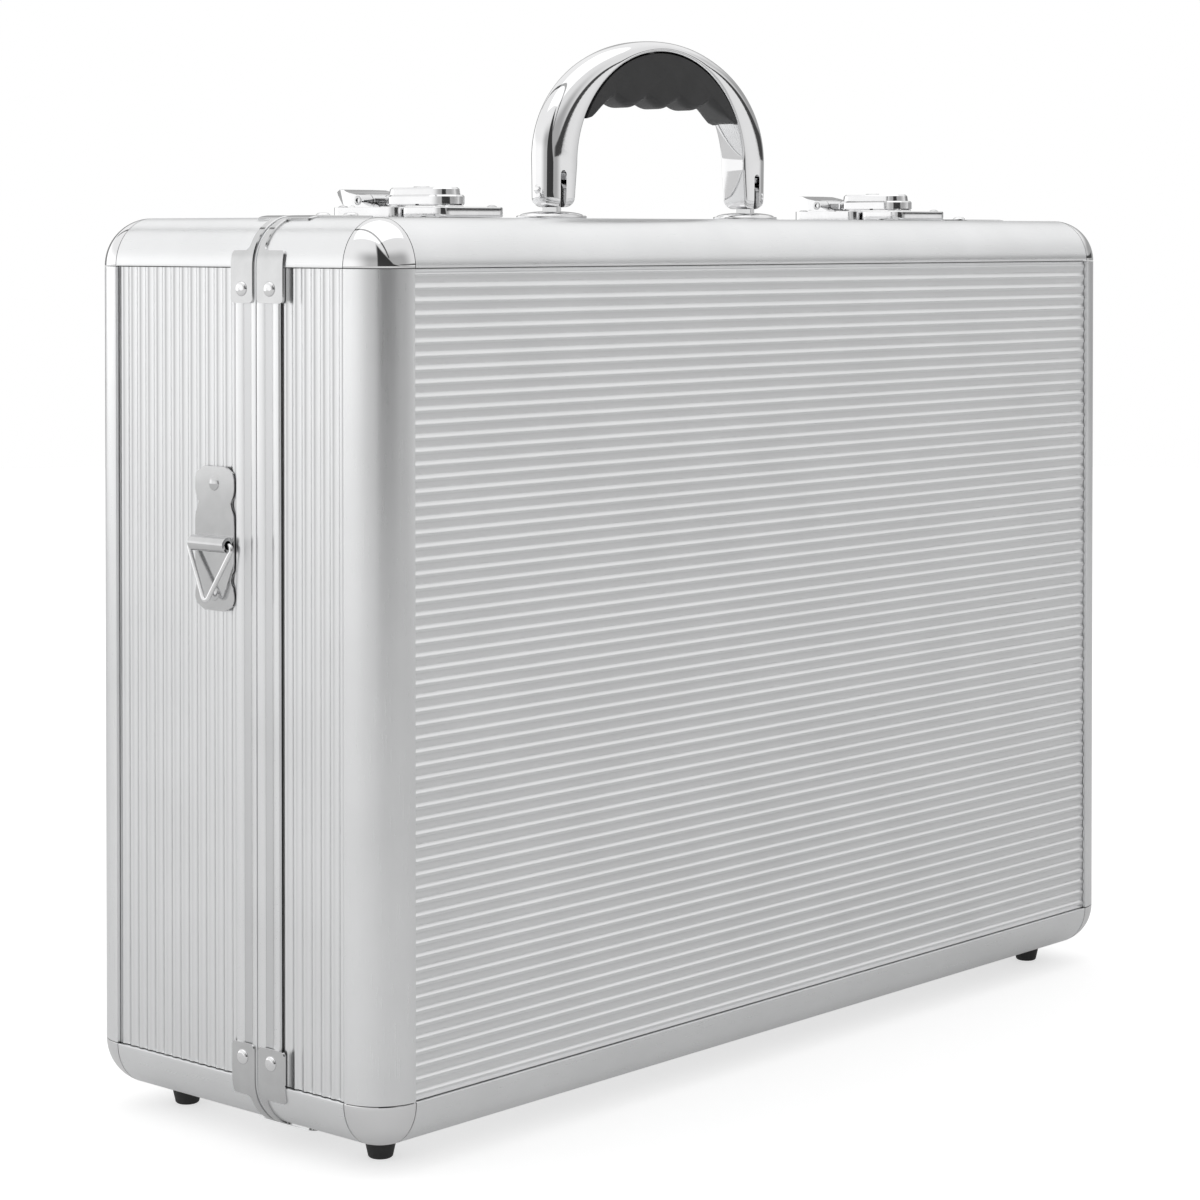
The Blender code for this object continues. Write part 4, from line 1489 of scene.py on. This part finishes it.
@dataclass(frozen=True)
class Patch:
    """A part of the sky that is darker or lighter than the rest: how much so, and the rises that bound it."""

    strength: float
    rises: tuple[Rise, ...]

    def socket(self, nodes: Nodes, axes: Sequence[Socket]) -> Socket:
        """Adds the nodes that work out its share of each direction."""
        return nodes.maths("MULTIPLY", *(rise.socket(nodes, axes) for rise in self.rises), self.strength)


EAST, NORTH, UP = (1.0, 0.0, 0.0), (0.0, 1.0, 0.0), (0.0, 0.0, 1.0)
TOWARD_VIEWER, ACROSS_VIEW = (-0.653, -0.754, 0.0), (0.754, -0.653, 0.0)

SHADES = {
    "room beside the viewer": Patch(0.95, (
        Rise(TOWARD_VIEWER, 0.1, 0.3), Rise(ACROSS_VIEW, -0.2, -0.11),
        Rise((1.05 * 0.754, -1.05 * 0.653, 1.0), 0.7, 0.62))),
    "low wall past the lid": Patch(0.93, (
        Rise((0.75, -0.65, 0.0), 0.45, 0.8), Rise(UP, 0.024, 0.032), Rise(UP, 0.16, 0.1))),
    "haze behind the viewer": Patch(0.5, (
        Rise(TOWARD_VIEWER, 0.1, 0.6), Rise(ACROSS_VIEW, -1.03, -0.4), Rise(UP, 0.7, 0.35))),
    "screen past the far end": Patch(0.8, (Rise((0.436, 0.897, 0.0), 0.945, 0.965), Rise(UP, 0.4, 0.25))),
    "dim far corner": Patch(0.6, (Rise((0.942, 0.326, 0.0), 0.55, 0.85), Rise(UP, 0.5, 0.25))),
    "ceiling seam": Patch(0.9, (
        Rise((0.932213, -0.288766, 0.207), 0.032, 0.02, both_ways=True), Rise(UP, 0.3, 0.4))),
}
GLOWS = {
    "window at the narrow end": Patch(0.17, (Rise(EAST, -0.1, -0.8), Rise(UP, 0.35, 0.15))),
    "window behind": Patch(0.35, (Rise(NORTH, 0.7, 0.97), Rise(UP, 0.35, 0.15))),
    "dimmer front": Patch(-0.11, (Rise(NORTH, 0.1, -0.8),)),
}


@dataclass
class Studio:
    """A pale floor, soft light and the camera."""

    eye: Triple = (-0.978, -0.8506, 0.3289)
    lens: float = 93.56
    sensor: float = 36.0
    clip: Pair = (0.01, 50.0)
    pitch: float = math.radians(0.952)
    yaw: float = math.radians(-48.183)
    shift: float = -0.2605
    floor_radius: float = 3.2
    floor_grey: Pair = (0.34, 0.55)  # in reflections, and as seen
    floor_run: Pair = (0.3, -0.6)
    floor_glow: Pair = (0.23, 0.39)  # in reflections, at either end of the run
    floor_glow_seen: float = 0.62
    lamp_at: Triple = (0.0, 0.2, 2.4)
    lamp_aim: Triple = (0.0, 0.0, 0.2)
    lamp_side: float = 2.6
    lamp_watts: float = 8

    def paint(self) -> bpy.types.Material:
        """The floor's matt white, which glows a little to stay white under a dimmed sky.

        Returns:
            The floor's material.
        """
        made = bpy.data.materials.new("floor_paint")
        made.use_nodes = True
        shader = made.node_tree.nodes["Principled BSDF"]
        shader.inputs["Roughness"].default_value = 0.9
        shader.inputs["Specular IOR Level"].default_value = 0.1
        shader.inputs["Emission Color"].default_value = (1.0, 1.0, 1.0, 1.0)
        nodes = Nodes(made.node_tree)
        seen = nodes.add("ShaderNodeLightPath").outputs["Is Camera Ray"]
        mirrored_grey, seen_grey = ((grey,) * 3 for grey in self.floor_grey)
        nodes.join(nodes.blend(seen, mirrored_grey, seen_grey), shader.inputs["Base Color"])
        split = nodes.add("ShaderNodeSeparateXYZ")
        nodes.join(nodes.add("ShaderNodeTexCoord").outputs["Object"], split.inputs["Vector"])
        mirrored = nodes.ramp(split.outputs["X"], self.floor_run, self.floor_glow, "LINEAR")
        nodes.join(nodes.choose(seen, mirrored, self.floor_glow_seen), shader.inputs["Emission Strength"])
        return made

    def floor(self) -> None:
        """A round pale floor."""
        mesh = bmesh.new()
        bmesh.ops.create_circle(mesh, cap_ends=True, radius=self.floor_radius, segments=96)
        data = bpy.data.meshes.new("studio_floor")
        mesh.to_mesh(data)
        mesh.free()
        data.materials.append(self.paint())
        ground = bpy.data.objects.new("studio_floor", data)
        bpy.context.scene.collection.objects.link(ground)

    def sky(self) -> None:
        """Soft white surroundings with darker and lighter patches, and plain white where they are seen."""
        world = bpy.data.worlds.new("studio_sky")
        world.use_nodes = True
        bpy.context.scene.world = world
        world.node_tree.nodes.clear()
        nodes = Nodes(world.node_tree)
        split = nodes.add("ShaderNodeSeparateXYZ")
        nodes.join(nodes.add("ShaderNodeTexCoord").outputs["Generated"], split.inputs["Vector"])
        axes = [split.outputs[axis] for axis in "XYZ"]
        dark = nodes.maths("MAXIMUM", *(patch.socket(nodes, axes) for patch in SHADES.values()))
        bright = nodes.maths("ADD", *(patch.socket(nodes, axes) for patch in GLOWS.values()), 1.0)
        light = nodes.maths("MULTIPLY", bright, nodes.maths("SUBTRACT", 1.0, dark))
        seen = nodes.add("ShaderNodeLightPath").outputs["Is Camera Ray"]
        glow = nodes.add("ShaderNodeBackground")
        glow.inputs["Color"].default_value = (1.0, 1.0, 1.0, 1.0)
        nodes.join(nodes.choose(seen, light, 1.0), glow.inputs["Strength"])
        nodes.join(glow.outputs["Background"], nodes.add("ShaderNodeOutputWorld").inputs["Surface"])

    def softbox(self) -> None:
        """The square soft light overhead."""
        light = bpy.data.lights.new("top_softbox", "AREA")
        light.shape, light.size, light.energy = "SQUARE", self.lamp_side, self.lamp_watts
        made = bpy.data.objects.new("top_softbox", light)
        made.location = self.lamp_at
        made.rotation_euler = (Vector(self.lamp_aim) - Vector(self.lamp_at)).to_track_quat("-Z", "Y").to_euler()
        bpy.context.scene.collection.objects.link(made)

    def camera(self) -> None:
        """The camera at the viewing angle."""
        data = bpy.data.cameras.new("camera")
        data.lens, data.sensor_width, data.shift_y = self.lens, self.sensor, self.shift
        data.clip_start, data.clip_end = self.clip
        made = bpy.data.objects.new("camera", data)
        made.location = self.eye
        ahead = Vector((-math.sin(self.yaw) * math.cos(self.pitch), math.cos(self.yaw) * math.cos(self.pitch),
                        -math.sin(self.pitch)))
        made.rotation_euler = ahead.to_track_quat("-Z", "Y").to_euler()
        bpy.context.scene.collection.objects.link(made)
        bpy.context.scene.camera = made

    def build(self) -> None:
        """Sets up the studio."""
        self.floor()
        self.sky()
        self.softbox()
        self.camera()
        bpy.context.scene.view_settings.view_transform = "Standard"


def main() -> None:
    """Builds the case's looks and the studio round the frame."""
    logging.basicConfig(level=logging.INFO, format="%(message)s")
    for old in list(bpy.data.objects):
        bpy.data.objects.remove(old)
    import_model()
    size = CaseSize()
    parts = [RibbedSheets(size), EdgeExtrusions(size), Rims(size), PartingClamps(size), Lining(size), Feet(),
             Hinge(size), Handle(size)]
    parts += [kind(size, hand) for kind in (DrawLatch, StrapLoop) for hand in Hand]
    for part in parts:
        LOG.info("building %s", type(part).__name__)
        part.build()
    Studio().build()


if __name__ == "__main__":
    main()
